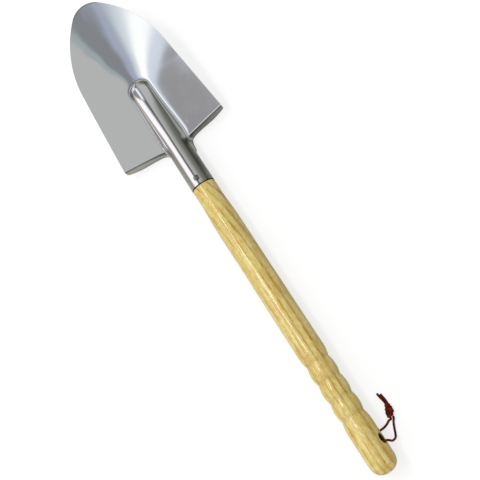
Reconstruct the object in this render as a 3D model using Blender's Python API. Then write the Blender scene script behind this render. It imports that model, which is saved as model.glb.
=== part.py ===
"""Long-handled garden trowel: a pressed steel head, a turned ash handle, a nail and a leather thong.

The trowel lies face up on a table. +Y points to the tip of the blade, +X to the right and +Z up, in metres.
Every piece is first laid out on the handle's own axis: y is measured from the mouth of the socket,
towards the tip, and z from the axis. The axis then gets the small tilt at which the tool rests, on the
turned-down treads behind the blade and on the thong under the butt.
"""

import math

import bpy
from mathutils import Matrix, Vector

# Steel sheet and blade outline
SHEET = 0.0015
SHOULDER_Y = 0.0595
SHOULDER_SLOPE = math.radians(4.5)
BLADE_HALF_WIDTH = 0.0652
SIDE_TAPER = 0.103
SIDE_END_Y = 0.157
OGIVE_RADIUS = 0.115
TIP_RADIUS = 0.0265

# Blade floor: the lift to the tip, and the flanks that rise to both sides
LIFT_SLOPE = 0.25
FLOOR_AT_SHOULDER = -0.0068
FLANK_SLOPE = 0.17
VALLEY_RADIUS = 0.008
VALLEY_SPREAD = 0.60
VALLEY_BLEND = 0.012

# Frog, the hollow ridge that carries the socket's tube on into the blade
FROG_NOSE_Y = 0.1290
FROG_NOSE_LENGTH = 0.0072
FROG_NOSE_HALF_WIDTH = 0.0112
FROG_NOSE_HEIGHT = 0.0082
FROG_FOOT_RUN = 0.0036

# Socket
SOCKET_RIM_RADIUS = 0.01372
SOCKET_NECK_RADIUS = 0.01330
NECK_Y = 0.0535
NECK_FILLET = 0.0065
SEAM_GAP = 0.0010
SEAM_END_Y = 0.0240
SOCKET_OPEN_Y = 0.0440
NECK_SIDE_DEPTH = 0.0125
NECK_EDGE_ROUNDING = 0.0036
NECK_FAN = 1.5

# Treads
TREAD_RUN = 0.0018
TREAD_STRAIGHTNESS = 0.75
TREAD_FLAT_END_X = 0.0400
TREAD_CORNER_LIFT = 0.0088
TREAD_CORNER_RADIUS = 0.0030

# Handle
TENON_LENGTH = 0.0400
TENON_CLEARANCE = 0.0003
TENON_CHAMFER = 0.0015
THROAT_RADIUS = 0.01345
THROAT_EDGE = 0.0005
THROAT_END_Y = -0.0180
THROAT_EASE = 0.8
SHANK_RADIUS = 0.0147
SHANK_START_Y = -0.0520
SHANK_END_Y = -0.1000
SWELL_RADIUS = 0.0152
SWELL_Y = -0.2144
SWELL_FALL = 2.2
GROOVE_FIRST_Y = -0.2286
GROOVE_PITCH = 0.0223
GROOVE_COUNT = 4
GROOVE_RADIUS = 0.0130
LOBE_RADIUS = 0.0148
LOBE_FALL = 2
BUTT_RISE = 0.0180
BUTT_FALL = 3
BUTT_RADIUS = 0.0151
BUTT_CROWN_Y = -0.3480
BUTT_END_Y = -0.3637
BUTT_ROUNDNESS = 2.35

# Cross hole for the thong, its axis raised to the tool's right
HOLE_Y = -0.3308
HOLE_RADIUS = 0.0050
HOLE_MOUTH_RADIUS = 0.0034
HOLE_RISE = math.radians(15)

# Nail through the front of the socket
NAIL_Y = 0.0080
NAIL_HEAD_RADIUS = 0.0033
NAIL_HEAD_HEIGHT = 0.0019
NAIL_SHANK_RADIUS = 0.0016
NAIL_LENGTH = 0.0200
NAIL_POINT = 0.0040
NAIL_CLEARANCE = 0.0003

# Leather thong: its routes are (x, y, height over the table)
LACE = 0.0022
LACE_GAP = 0.0003
LACE_STEP = 0.0032
RIGHT_MOUTH = (
    (0.0098, -0.3341, 0.0199),
    (0.0126, -0.3343, 0.0201),
    (0.0156, -0.3350, 0.0193),
    (0.0178, -0.3365, 0.0162),
    (0.0192, -0.3379, 0.0119),
    (0.0214, -0.3379, 0.0081),
    (0.0234, -0.3366, 0.0051),
    (0.0249, -0.3336, 0.0028),
    (0.0269, -0.3285, 0.0013),
    (0.0296, -0.3227, 0.0012),
)
LEFT_MOUTH = (
    (-0.0107, -0.3303, 0.0122),
    (-0.0131, -0.3298, 0.0102),
    (-0.0137, -0.3292, 0.0072),
    (-0.0122, -0.3284, 0.0042),
    (-0.0093, -0.3271, 0.0020),
    (-0.0050, -0.3256, 0.0012),
    (0.0000, -0.3241, 0.0011),
    (0.0070, -0.3226, 0.0011),
    (0.0127, -0.3219, 0.0012),
    (0.0180, -0.3216, 0.0012),
    (0.0228, -0.3203, 0.0012),
    (0.0266, -0.3183, 0.0014),
)
KNOT_START = (0.0314, -0.3160)
KNOT_END = (0.0345, -0.3020)
KNOT_HEIGHT = 0.0027
KNOT_CORE = 0.0021
KNOT_TURNS = 3
KNOT_TURN_PITCH = 0.0040
KNOT_TURN_HALF_WIDTH = 0.0040
KNOT_TURN_FLATNESS = 0.65
KNOT_TURN_SLANT = math.radians(32)
STRAND_SPREAD = 0.0015
TAILS = (
    (
        (0.0337, -0.3040, 0.0024),
        (0.0334, -0.2990, 0.0016),
        (0.0322, -0.2930, 0.0012),
        (0.0316, -0.2882, 0.0012),
    ),
    (
        (0.0350, -0.3040, 0.0026),
        (0.0354, -0.2990, 0.0018),
        (0.0348, -0.2945, 0.0012),
        (0.0341, -0.2906, 0.0012),
    ),
)

# How the tool rests: the axis's height over the table at the treads, and where the butt lies on the thong
AXIS_HEIGHT_AT_TREADS = 0.0141
TREAD_FOOT_TRIM = 0.0006
LACE_STATION = -0.3240

# Facets
ARCH_STEPS = 9
FOOT_STEPS = 5
FLANK_STEPS = 11
STRAIGHT_SPOKES = 15
NOSE_SPOKES = 18
SPOKE_CROWDING = 1.3
SOCKET_ROWS = 8
FLAP_STEPS = 8
HANDLE_SIDES = 36
THROAT_STEPS = 4
SWELL_STEPS = 5
LOBE_STEPS = 4
BUTT_RISE_STEPS = 6
BUTT_STEPS = 8
MOUTH_STEPS = 4
DOME_STEPS = 4
RIM_STEPS = 4
CORE_STEPS = 4
ROUTE_FINENESS = 16
CUTTER_SIDES = 24
NAIL_SIDES = 20
LACE_SIDES = 8
SHARP_ANGLE = math.radians(35)
END_ROW_FADE = 0.060
SMALL = 1e-5


def lerp(a, b, t):
    """Value between a and b at the share t."""
    return a + (b - a) * t


def clamp(t):
    """t held between 0 and 1."""
    return max(0.0, min(1.0, t))


def smooth_step(t):
    """Ease from 0 to 1 with level ends."""
    t = clamp(t)
    return t * t * (3 - 2 * t)


# Blade outline


def side_half_width(y):
    """Half width of the blade on its straight side."""
    return BLADE_HALF_WIDTH - SIDE_TAPER * (y - SHOULDER_Y)


def tip_outline(count, start_y):
    """Points of the right edge from start_y to the tip, closer together towards the tip."""
    side = Vector((side_half_width(SIDE_END_Y), SIDE_END_Y))
    inward = Vector((-1.0, -SIDE_TAPER)).normalized()
    arc_centre = side + OGIVE_RADIUS * inward
    tip_centre_y = arc_centre.y + math.sqrt((OGIVE_RADIUS - TIP_RADIUS) ** 2 - arc_centre.x**2)
    first = math.atan2(-inward.y, -inward.x)
    turn = math.atan2(tip_centre_y - arc_centre.y, -arc_centre.x)
    straight = math.hypot(SIDE_END_Y - start_y, side_half_width(start_y) - side.x)
    arc = OGIVE_RADIUS * (turn - first)
    nose = TIP_RADIUS * (math.pi / 2 - turn)
    points = []
    for i in range(count + 1):
        run = (straight + arc + nose) * (1 - (1 - i / count) ** SPOKE_CROWDING)
        if run <= straight:
            y = lerp(start_y, SIDE_END_Y, run / straight)
            points.append((side_half_width(y), y))
        elif run <= straight + arc:
            angle = first + (run - straight) / OGIVE_RADIUS
            corner = arc_centre + OGIVE_RADIUS * Vector((math.cos(angle), math.sin(angle)))
            points.append((corner.x, corner.y))
        else:
            angle = turn + (run - straight - arc) / TIP_RADIUS
            points.append((TIP_RADIUS * math.cos(angle), tip_centre_y + TIP_RADIUS * math.sin(angle)))
    return points


# Heights of the front face


def valley_height(y):
    """Height of the blade's middle line."""
    return FLOOR_AT_SHOULDER + LIFT_SLOPE * (y - SHOULDER_Y)


def flank_rise(x, y):
    """Rise of the flank at x over the middle line, from a valley that widens towards the tip."""
    ahead = y - FROG_NOSE_Y
    radius = VALLEY_RADIUS + VALLEY_SPREAD * (ahead + math.hypot(ahead, VALLEY_BLEND)) / 2
    return FLANK_SLOPE * (math.hypot(x, radius) - radius)


def frog_share(y):
    """0 at the frog's nose and 1 where the frog becomes the socket."""
    return clamp((FROG_NOSE_Y - y) / (FROG_NOSE_Y - NECK_Y))


def frog_height(y):
    """Height of the frog's crown over the blade's middle line, which meets the socket's top at the neck."""
    neck = SOCKET_NECK_RADIUS - valley_height(NECK_Y)
    rise = neck - FROG_NOSE_HEIGHT
    steepness = LIFT_SLOPE * (FROG_NOSE_Y - NECK_Y) / rise
    t = frog_share(y)
    return FROG_NOSE_HEIGHT + rise * ((3 - steepness) * t * t + (steepness - 2) * t**3)


def frog_half_width(y):
    """Half width of the frog between its upright walls."""
    return lerp(FROG_NOSE_HALF_WIDTH, SOCKET_NECK_RADIUS, smooth_step(frog_share(y)))


def wall_share():
    """Share of the frog's height that is wall, below its rounded crown."""
    return 1 - SOCKET_NECK_RADIUS / (SOCKET_NECK_RADIUS - valley_height(NECK_Y))


def frog_section(v, half_width, height):
    """Distance from the crown line and height over the floor. v up to 1 is the crown, then the foot."""
    wall = wall_share() * height
    if v <= 1:
        angle = v * math.pi / 2
        return half_width * math.sin(angle), wall + (height - wall) * math.cos(angle)
    t = v - 1
    return half_width + FROG_FOOT_RUN * t * t, wall * (1 - t) ** 2


def straight_point(y, v):
    """Point of the front face beside the frog, where v from 2 to 3 crosses the flank."""
    half_width = frog_half_width(y)
    if v <= 2:
        x, over = frog_section(v, half_width, frog_height(y))
    else:
        x, over = lerp(half_width + FROG_FOOT_RUN, side_half_width(y), v - 2), 0.0
    return Vector((x, y, valley_height(y) + over + flank_rise(x, y) * smooth_step(v - 1)))


def nose_point(angle, edge, v):
    """Point of the front face round the frog's nose, on the line at this angle from +Y to the edge point."""
    across = math.sin(angle)
    along = math.cos(angle)
    half_width = 1 / math.hypot(across / FROG_NOSE_HALF_WIDTH, along / FROG_NOSE_LENGTH)
    if v <= 2:
        reach, over = frog_section(v, half_width, FROG_NOSE_HEIGHT)
    else:
        reach, over = lerp(half_width + FROG_FOOT_RUN, edge, v - 2), 0.0
    x = reach * across
    y = FROG_NOSE_Y + reach * along
    return Vector((x, y, valley_height(y) + over + flank_rise(x, y) * smooth_step(v - 1)))


def shoulder_rise(beyond):
    """How far ahead of the neck the shoulder line lies, this far beyond the socket's side."""
    corner = NECK_FILLET * (1 - math.sin(SHOULDER_SLOPE))
    return NECK_FILLET * math.cos(SHOULDER_SLOPE) + (beyond - corner) * math.tan(SHOULDER_SLOPE)


def end_rise(beyond):
    """How far ahead of the neck the front face ends: on the neck's fillet, then on the shoulder line."""
    if beyond < NECK_FILLET * (1 - math.sin(SHOULDER_SLOPE)):
        return math.sqrt(NECK_FILLET**2 - (NECK_FILLET - beyond) ** 2)
    return shoulder_rise(beyond)


def section_steps():
    """The values of v across the half section, closer together at the frog's foot and the blade's edge."""
    crown = [i / ARCH_STEPS for i in range(ARCH_STEPS)]
    foot = [1 + i / FOOT_STEPS for i in range(FOOT_STEPS)]
    flank = [2 + (1 - math.cos(math.pi * i / FLANK_STEPS)) / 2 for i in range(FLANK_STEPS + 1)]
    return crown + foot + flank


def end_shift(v):
    """How far the last row of the front face lies ahead of the neck at v."""
    x = straight_point(SHOULDER_Y, v).x
    return end_rise(max(0.0, x - SOCKET_NECK_RADIUS)) if v > 1 else 0.0


def blade_rows():
    """Rows of the right half of the front face, from the neck and shoulder round to the tip."""
    steps = section_steps()
    rows = []
    for i in range(STRAIGHT_SPOKES + 1):
        station = lerp(NECK_Y, FROG_NOSE_Y, i / STRAIGHT_SPOKES)
        fade = (1 - clamp((station - NECK_Y) / END_ROW_FADE)) ** 2
        rows.append([straight_point(station + fade * end_shift(v), v) for v in steps])
    for x, y in tip_outline(NOSE_SPOKES, FROG_NOSE_Y)[1:]:
        angle = math.atan2(x, y - FROG_NOSE_Y)
        edge = math.hypot(x, y - FROG_NOSE_Y)
        row = [nose_point(angle, edge, v) for v in steps]
        if x < SMALL:
            row = [Vector((0.0, p.y, p.z)) for p in row]
        rows.append(row)
    return rows


# Socket and the turned-down flaps


def socket_radius(y):
    """Outer radius of the socket, which tapers a little from its mouth to the neck."""
    return lerp(SOCKET_RIM_RADIUS, SOCKET_NECK_RADIUS, clamp(y / NECK_Y))


def socket_rows():
    """Rows of the upper right quarter of the socket, from the neck to the mouth."""
    rows = []
    for i in range(SOCKET_ROWS + 1):
        y = lerp(NECK_Y, 0.0, i / SOCKET_ROWS)
        radius = socket_radius(y)
        angles = [j / ARCH_STEPS * math.pi / 2 for j in range(ARCH_STEPS + 1)]
        rows.append([Vector((radius * math.sin(a), y, radius * math.cos(a))) for a in angles])
    return rows


def tread_foot_height(x):
    """Height of a tread's free edge: level near the neck, then lifting to a rounded outer corner."""
    level = -AXIS_HEIGHT_AT_TREADS - TREAD_FOOT_TRIM
    edge = side_half_width(SHOULDER_Y)
    out = clamp((x - TREAD_FLAT_END_X) / (edge - TREAD_FLAT_END_X))
    corner = clamp((x - edge + TREAD_CORNER_RADIUS) / TREAD_CORNER_RADIUS)
    return level + TREAD_CORNER_LIFT * out * out + TREAD_CORNER_RADIUS * (1 - math.sqrt(1 - corner * corner))


def edge_run(start, outward):
    """How far outward of this point the free edge lies, on a curve that rounds the neck's corner."""
    along = outward.x
    back = -outward.y
    beside = start.x - SOCKET_NECK_RADIUS
    behind = NECK_Y + shoulder_rise(beside) - TREAD_RUN - start.y
    near = 0.0
    far = SOCKET_NECK_RADIUS
    while far - near > SMALL / 10:
        run = (near + far) / 2
        if (beside + run * along) * (behind + run * back) < NECK_EDGE_ROUNDING**2:
            near = run
        else:
            far = run
    return far


def flap_line(start, outward, first, depth):
    """Points down a flap, in the upright plane through outward.

    The sheet leaves at this first angle below level and ends upright, this deep below its start.
    """
    run = edge_run(start, outward)
    level = min(run / max(math.cos(first), SMALL), depth / 2)
    down = Vector((0, 0, -1))
    corner = start + level * (math.cos(first) * outward + math.sin(first) * down)
    edge = start + run * outward + depth * down
    upper = edge - (depth - level * math.sin(first)) * TREAD_STRAIGHTNESS * down
    points = []
    for i in range(FLAP_STEPS + 1):
        t = i / FLAP_STEPS
        points.append(
            (1 - t) ** 3 * start + 3 * (1 - t) ** 2 * t * corner + 3 * (1 - t) * t * t * upper + t**3 * edge
        )
    return points


def shoulder_flaps(first_row):
    """Flap lines along the tread and round the neck's fillet, from the outer corner to the socket's side."""
    lines = []
    steps = section_steps()
    for j in range(len(steps) - 1, ARCH_STEPS - 1, -1):
        v = steps[j]
        point = first_row[j]
        beyond = clamp((point.x - SOCKET_NECK_RADIUS) / NECK_FILLET)
        wrap = 1 - smooth_step(beyond)
        along_fillet = math.acos(1 - beyond) / (math.pi / 2)
        turn = lerp(math.pi / 2, -SHOULDER_SLOPE, 1 - (1 - along_fillet) ** NECK_FAN)
        outward = Vector((math.sin(turn), -math.cos(turn), 0))
        across = straight_point(point.y, min(3.0, v + SMALL)) - straight_point(point.y, v - SMALL)
        forward = straight_point(point.y + SMALL, v) - straight_point(point.y - SMALL, v)
        normal = across.cross(forward)
        first = min(math.pi / 2, math.atan2(normal.dot(outward), normal.z))
        foot = lerp(tread_foot_height(point.x), -NECK_SIDE_DEPTH, wrap)
        lines.append(flap_line(point, outward, first, point.z - foot))
    return lines


def socket_flaps(rows):
    """Flap lines along the socket: the lower half of the tube, which opens out towards the neck."""
    lines = []
    for row in rows[1:]:
        side = row[-1]
        radius = side.x
        opening = smooth_step((side.y - SEAM_END_Y) / (SOCKET_OPEN_Y - SEAM_END_Y))
        closed = math.pi / 2 - math.asin(SEAM_GAP / 2 / radius)
        line = flap_line(side, Vector((1, 0, 0)), math.pi / 2, NECK_SIDE_DEPTH)
        for i, point in enumerate(line):
            angle = closed * i / FLAP_STEPS
            round_point = Vector((radius * math.cos(angle), side.y, -radius * math.sin(angle)))
            line[i] = round_point.lerp(point, opening)
        lines.append(line)
    return lines


# Meshes


def finished_mesh(name, points, faces):
    """Mesh of these points and faces, shaded smooth up to its edges."""
    mesh = bpy.data.meshes.new(name)
    mesh.from_pydata(points, [], faces)
    mesh.shade_smooth()
    mesh.set_sharp_from_angle(angle=SHARP_ANGLE)
    return mesh


def join_grids(name, grids):
    """Mesh of several grids of points, whose shared points are merged."""
    points = []
    numbers = {}
    faces = []

    def number(point):
        key = tuple(round(c / SMALL * 2) for c in point)
        if key not in numbers:
            numbers[key] = len(points)
            points.append(point)
        return numbers[key]

    for grid in grids:
        for row, following in zip(grid, grid[1:]):
            for j in range(len(row) - 1):
                corners = [number(p) for p in (row[j], following[j], following[j + 1], row[j + 1])]
                corners = list(dict.fromkeys(corners))
                if len(corners) > 2:
                    faces.append(corners)
    return finished_mesh(name, points, faces)


def lathe(name, profile, sides):
    """Closed turned mesh about the Y axis from (y, radius) pairs, listed towards -Y."""
    points = []
    faces = []
    rings = []
    for y, radius in profile:
        if radius < SMALL:
            rings.append([len(points)] * sides)
            points.append((0.0, y, 0.0))
            continue
        rings.append(range(len(points), len(points) + sides))
        for i in range(sides):
            angle = math.tau * i / sides
            points.append((radius * math.cos(angle), y, radius * math.sin(angle)))
    for ring, following in zip(rings, rings[1:]):
        for i in range(sides):
            k = (i + 1) % sides
            corners = list(dict.fromkeys((ring[i], ring[k], following[k], following[i])))
            faces.append(corners)
    return finished_mesh(name, points, faces)


def box_mesh(name, low, high):
    """Closed box between two corners."""
    corners = [(x, y, z) for x in (low[0], high[0]) for y in (low[1], high[1]) for z in (low[2], high[2])]
    faces = [(0, 1, 3, 2), (4, 6, 7, 5), (0, 4, 5, 1), (2, 3, 7, 6), (0, 2, 6, 4), (1, 5, 7, 3)]
    return finished_mesh(name, corners, faces)


def add_object(name, data, material=None, place=None):
    """Object of this data in the scene, with one material and its place."""
    thing = bpy.data.objects.new(name, data)
    bpy.context.scene.collection.objects.link(thing)
    if material:
        data.materials.append(material)
    if place:
        thing.matrix_world = place
    return thing


def hide_tool(thing):
    """Mark an object that only cuts another."""
    thing.hide_render = True
    thing.display_type = "WIRE"
    return thing


def boolean(thing, tool, operation):
    """Boolean of thing with a hidden tool."""
    modifier = thing.modifiers.new(tool.name, "BOOLEAN")
    modifier.operation = operation
    modifier.solver = "EXACT"
    modifier.object = tool


def new_material(name, colour, roughness, metallic):
    """Principled material of one colour."""
    material = bpy.data.materials.new(name)
    material.use_nodes = True
    shader = material.node_tree.nodes["Principled BSDF"]
    shader.inputs["Base Color"].default_value = (*colour, 1.0)
    shader.inputs["Roughness"].default_value = roughness
    shader.inputs["Metallic"].default_value = metallic
    return material


# How the tool lies


def rest_tilt():
    """Tilt of the axis: the butt stands higher than the treads, on the thong."""
    at_lace = BUTT_RADIUS + LACE_GAP + LACE
    return math.atan2(at_lace - AXIS_HEIGHT_AT_TREADS, SHOULDER_Y - LACE_STATION)


def axis_height(y):
    """Height of the handle's axis over the table."""
    return AXIS_HEIGHT_AT_TREADS + (SHOULDER_Y - y) * math.tan(rest_tilt())


def tool_place():
    """World place of the handle's axis, with the origin under the middle of the tool."""
    tip_y = tip_outline(1, FROG_NOSE_Y)[-1][1]
    tilt = rest_tilt()
    back_edge = SHEET * math.sin(math.atan(LIFT_SLOPE))
    middle = ((tip_y + back_edge + BUTT_END_Y) * math.cos(tilt) + valley_height(tip_y) * math.sin(tilt)) / 2
    return Matrix.Translation((0, -middle, axis_height(0))) @ Matrix.Rotation(-tilt, 4, "X")


def over_table(point):
    """Point on the handle's axes for (x, y, height over the table)."""
    x, y, height = point
    return Vector((x, y, height - axis_height(y)))


# Handle


def arc_steps(start, end, radii, count, power):
    """(y, radius) pairs from start to end, along half a lobe that is level at its start."""
    pairs = []
    for i in range(1, count + 1):
        t = i / count
        pairs.append((lerp(start, end, t), lerp(radii[0], radii[1], t**power)))
    return pairs


def handle_profile():
    """(y, radius) pairs of the handle from the tenon's end to the butt."""
    tenon_end = SOCKET_NECK_RADIUS - SHEET - TENON_CLEARANCE
    tenon_mouth = SOCKET_RIM_RADIUS - SHEET - TENON_CLEARANCE
    taper = (tenon_mouth - tenon_end) / NECK_Y
    inner = tenon_mouth - taper * TENON_LENGTH
    profile = [(TENON_LENGTH, 0.0), (TENON_LENGTH, inner - TENON_CHAMFER)]
    profile += [(TENON_LENGTH - TENON_CHAMFER, inner), (-TENON_CLEARANCE, tenon_mouth)]
    profile.append((-TENON_CLEARANCE, THROAT_RADIUS - THROAT_EDGE))
    profile += [(-TENON_CLEARANCE - THROAT_EDGE, THROAT_RADIUS), (THROAT_END_Y, THROAT_RADIUS)]
    for i in range(1, THROAT_STEPS + 1):
        t = i / THROAT_STEPS
        ease = smooth_step(t) ** THROAT_EASE
        profile.append((lerp(THROAT_END_Y, SHANK_START_Y, t), lerp(THROAT_RADIUS, SHANK_RADIUS, ease)))
    profile.append((SHANK_END_Y, SHANK_RADIUS))
    for t in (0.33, 0.66, 1.0):
        profile.append((lerp(SHANK_END_Y, SWELL_Y, t), lerp(SHANK_RADIUS, SWELL_RADIUS, t)))
    groove = GROOVE_FIRST_Y
    profile += arc_steps(SWELL_Y, groove, (SWELL_RADIUS, GROOVE_RADIUS), SWELL_STEPS, SWELL_FALL)
    for _ in range(GROOVE_COUNT - 1):
        crown = groove - GROOVE_PITCH / 2
        rise = arc_steps(crown, groove, (LOBE_RADIUS, GROOVE_RADIUS), LOBE_STEPS, LOBE_FALL)
        profile += [pair for pair in reversed(rise[:-1])]
        profile.append((crown, LOBE_RADIUS))
        groove -= GROOVE_PITCH
        profile += arc_steps(crown, groove, (LOBE_RADIUS, GROOVE_RADIUS), LOBE_STEPS, LOBE_FALL)
    rise = arc_steps(groove - BUTT_RISE, groove, (BUTT_RADIUS, GROOVE_RADIUS), BUTT_RISE_STEPS, BUTT_FALL)
    profile += [pair for pair in reversed(rise[:-1])]
    profile += [(groove - BUTT_RISE, BUTT_RADIUS), (BUTT_CROWN_Y, BUTT_RADIUS)]
    for i in range(1, BUTT_STEPS + 1):
        angle = math.pi / 2 * i / BUTT_STEPS
        along = math.sin(angle) ** (2 / BUTT_ROUNDNESS)
        across = max(0.0, math.cos(angle)) ** (2 / BUTT_ROUNDNESS)
        radius = BUTT_RADIUS * across if i < BUTT_STEPS else 0.0
        profile.append((lerp(BUTT_CROWN_Y, BUTT_END_Y, along), radius))
    return profile


def hole_profile():
    """(y, radius) pairs of the cross hole's cutter, with the rounding of both mouths."""
    deep = BUTT_RADIUS - HOLE_MOUTH_RADIUS
    half = [(deep, HOLE_RADIUS)]
    for i in range(1, MOUTH_STEPS + 1):
        angle = math.pi / 2 * i / MOUTH_STEPS
        flare = HOLE_MOUTH_RADIUS * (1 - math.cos(angle))
        half.append((deep + HOLE_MOUTH_RADIUS * math.sin(angle), HOLE_RADIUS + flare))
    half.append((BUTT_RADIUS + HOLE_MOUTH_RADIUS, HOLE_RADIUS + HOLE_MOUTH_RADIUS))
    far = (half[-1][0], 0.0)
    return [far] + list(reversed(half)) + [(-y, radius) for y, radius in half] + [(-far[0], 0.0)]


# Nail


def nail_profile():
    """(y, radius) pairs of the nail from the top of its head to its point, y from the head's underside."""
    profile = [(NAIL_HEAD_HEIGHT, 0.0)]
    for i in range(1, DOME_STEPS + 1):
        angle = math.pi / 2 * i / DOME_STEPS
        profile.append((NAIL_HEAD_HEIGHT * math.cos(angle), NAIL_HEAD_RADIUS * math.sin(angle)))
    profile += [(0.0, NAIL_SHANK_RADIUS), (NAIL_POINT - NAIL_LENGTH, NAIL_SHANK_RADIUS), (-NAIL_LENGTH, 0.0)]
    return profile


# Thong


def smooth_route(points, step):
    """Points about every step along a smooth curve through the given ones."""
    ends = [2 * points[0] - points[1]] + list(points) + [2 * points[-1] - points[-2]]
    fine = []
    for a, b, c, d in zip(ends, ends[1:], ends[2:], ends[3:]):
        for i in range(ROUTE_FINENESS):
            t = i / ROUTE_FINENESS
            bend = (2 * a - 5 * b + 4 * c - d) * t * t + (3 * b - a - 3 * c + d) * t**3
            fine.append((2 * b + (c - a) * t + bend) / 2)
    fine.append(points[-1])
    runs = [0.0]
    for a, b in zip(fine, fine[1:]):
        runs.append(runs[-1] + (b - a).length)
    count = max(2, round(runs[-1] / step))
    route = []
    k = 0
    for i in range(count + 1):
        run = runs[-1] * i / count
        while k < len(runs) - 2 and runs[k + 1] < run:
            k += 1
        share = (run - runs[k]) / max(SMALL * SMALL, runs[k + 1] - runs[k])
        route.append(fine[k].lerp(fine[k + 1], clamp(share)))
    return route


def lace_object(name, points, place, material):
    """Round lace along these points, with closed ends."""
    curve = bpy.data.curves.new(name, "CURVE")
    curve.dimensions = "3D"
    curve.bevel_depth = LACE / 2
    curve.bevel_resolution = 2
    curve.use_fill_caps = True
    spline = curve.splines.new("POLY")
    spline.points.add(len(points) - 1)
    for target, point in zip(spline.points, points):
        target.co = (*point, 1.0)
    return add_object(name, curve, material, place)


def tube_mesh(name, points, radius):
    """Round tube along these points, capped at both ends."""
    corners = []
    faces = []
    count = len(points)
    for i, point in enumerate(points):
        ahead = (points[min(i + 1, count - 1)] - points[max(i - 1, 0)]).normalized()
        side = ahead.cross(Vector((0, 0, 1))).normalized()
        up = side.cross(ahead)
        for k in range(LACE_SIDES):
            angle = math.tau * k / LACE_SIDES
            corners.append(point + radius * (math.cos(angle) * side + math.sin(angle) * up))
    for i in range(count - 1):
        for k in range(LACE_SIDES):
            n = (k + 1) % LACE_SIDES
            here = i * LACE_SIDES
            there = here + LACE_SIDES
            faces.append((here + k, there + k, there + n, here + n))
    faces.append(tuple(range(LACE_SIDES)))
    faces.append(tuple(reversed(range((count - 1) * LACE_SIDES, count * LACE_SIDES))))
    return finished_mesh(name, corners, faces)


def turn_profile():
    """(y, radius) pairs of one turn of the knot: a disc as thick as the lace, with a round rim."""
    half = LACE / 2
    profile = [(half, 0.0)]
    for i in range(RIM_STEPS + 1):
        angle = math.pi * i / RIM_STEPS
        profile.append((half * math.cos(angle), KNOT_TURN_HALF_WIDTH - half + half * math.sin(angle)))
    return profile + [(-half, 0.0)]


def knot_axes():
    """Start, end and direction of the knot's middle line, on the handle's axes."""
    start = over_table((*KNOT_START, KNOT_HEIGHT))
    end = over_table((*KNOT_END, KNOT_HEIGHT))
    return start, end, (end - start).normalized()


def strand_end(side):
    """Where a strand meets the knot, and a point straight behind it."""
    start, _, ahead = knot_axes()
    across = ahead.cross(Vector((0, 0, 1)))
    low = Vector((0, 0, 1)) * (LACE / 2 + LACE_GAP / 3 - KNOT_HEIGHT)
    end = start - ahead * LACE_GAP + side * STRAND_SPREAD * across + low
    return [end - ahead * LACE, end]


def bore_points(side):
    """First points of a strand, from the middle of the cross hole outward."""
    axis = Vector((math.cos(HOLE_RISE), 0, math.sin(HOLE_RISE)))
    middle = Vector((0, HOLE_Y, 0))
    return [middle + side * axis * (LACE_GAP / 2), middle + side * axis * (LACE_GAP / 2 + LACE)]


# Objects


def build_head(place, material, nail_hole):
    """The pressed steel head: a mirrored half sheet with its thickness, level feet and the nail's hole."""
    blade = blade_rows()
    socket = socket_rows()
    flaps = shoulder_flaps(blade[0]) + socket_flaps(socket)
    mesh = join_grids("blade_head", [[list(reversed(row)) for row in blade], socket, flaps])
    head = add_object("blade_head", mesh, material, place)
    mirror = head.modifiers.new("both halves", "MIRROR")
    mirror.merge_threshold = SMALL
    wall = head.modifiers.new("sheet", "SOLIDIFY")
    wall.thickness = SHEET
    wall.offset = -1
    wall.use_even_offset = True
    table = add_object("table_cutter", box_mesh("table_cutter", (-0.1, -0.4, -0.02), (0.1, 0.4, 0.0)))
    boolean(head, hide_tool(table), "DIFFERENCE")
    boolean(head, nail_hole, "DIFFERENCE")
    return head


def build_handle(place, material, nail_hole):
    """The turned handle with its cross hole and the nail's hole."""
    handle = add_object("handle", lathe("handle", handle_profile(), HANDLE_SIDES), material, place)
    across = Matrix.Translation((0, HOLE_Y, 0)) @ Matrix.Rotation(-HOLE_RISE, 4, "Y")
    turned = place @ across @ Matrix.Rotation(-math.pi / 2, 4, "Z")
    bore = lathe("cross_hole_cutter", hole_profile(), CUTTER_SIDES)
    hole = add_object("cross_hole_cutter", bore, None, turned)
    boolean(handle, hide_tool(hole), "DIFFERENCE")
    boolean(handle, nail_hole, "DIFFERENCE")
    return handle


def build_nail(place, material):
    """The nail, and the cutter of its hole."""
    head_underside = socket_radius(NAIL_Y) + NAIL_CLEARANCE
    upright = place @ Matrix.Translation((0, NAIL_Y, head_underside)) @ Matrix.Rotation(math.pi / 2, 4, "X")
    add_object("socket_nail", lathe("socket_nail", nail_profile(), NAIL_SIDES), material, upright)
    radius = NAIL_SHANK_RADIUS + NAIL_CLEARANCE
    profile = [(NAIL_HEAD_RADIUS, 0.0), (NAIL_HEAD_RADIUS, radius)]
    profile += [(NAIL_POINT - NAIL_LENGTH, radius), (-NAIL_LENGTH - NAIL_CLEARANCE * 2, NAIL_CLEARANCE * 2)]
    profile += [(-NAIL_LENGTH - NAIL_CLEARANCE * 2, 0.0)]
    bore = lathe("nail_hole_cutter", profile, NAIL_SIDES)
    return hide_tool(add_object("nail_hole_cutter", bore, None, upright))


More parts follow.
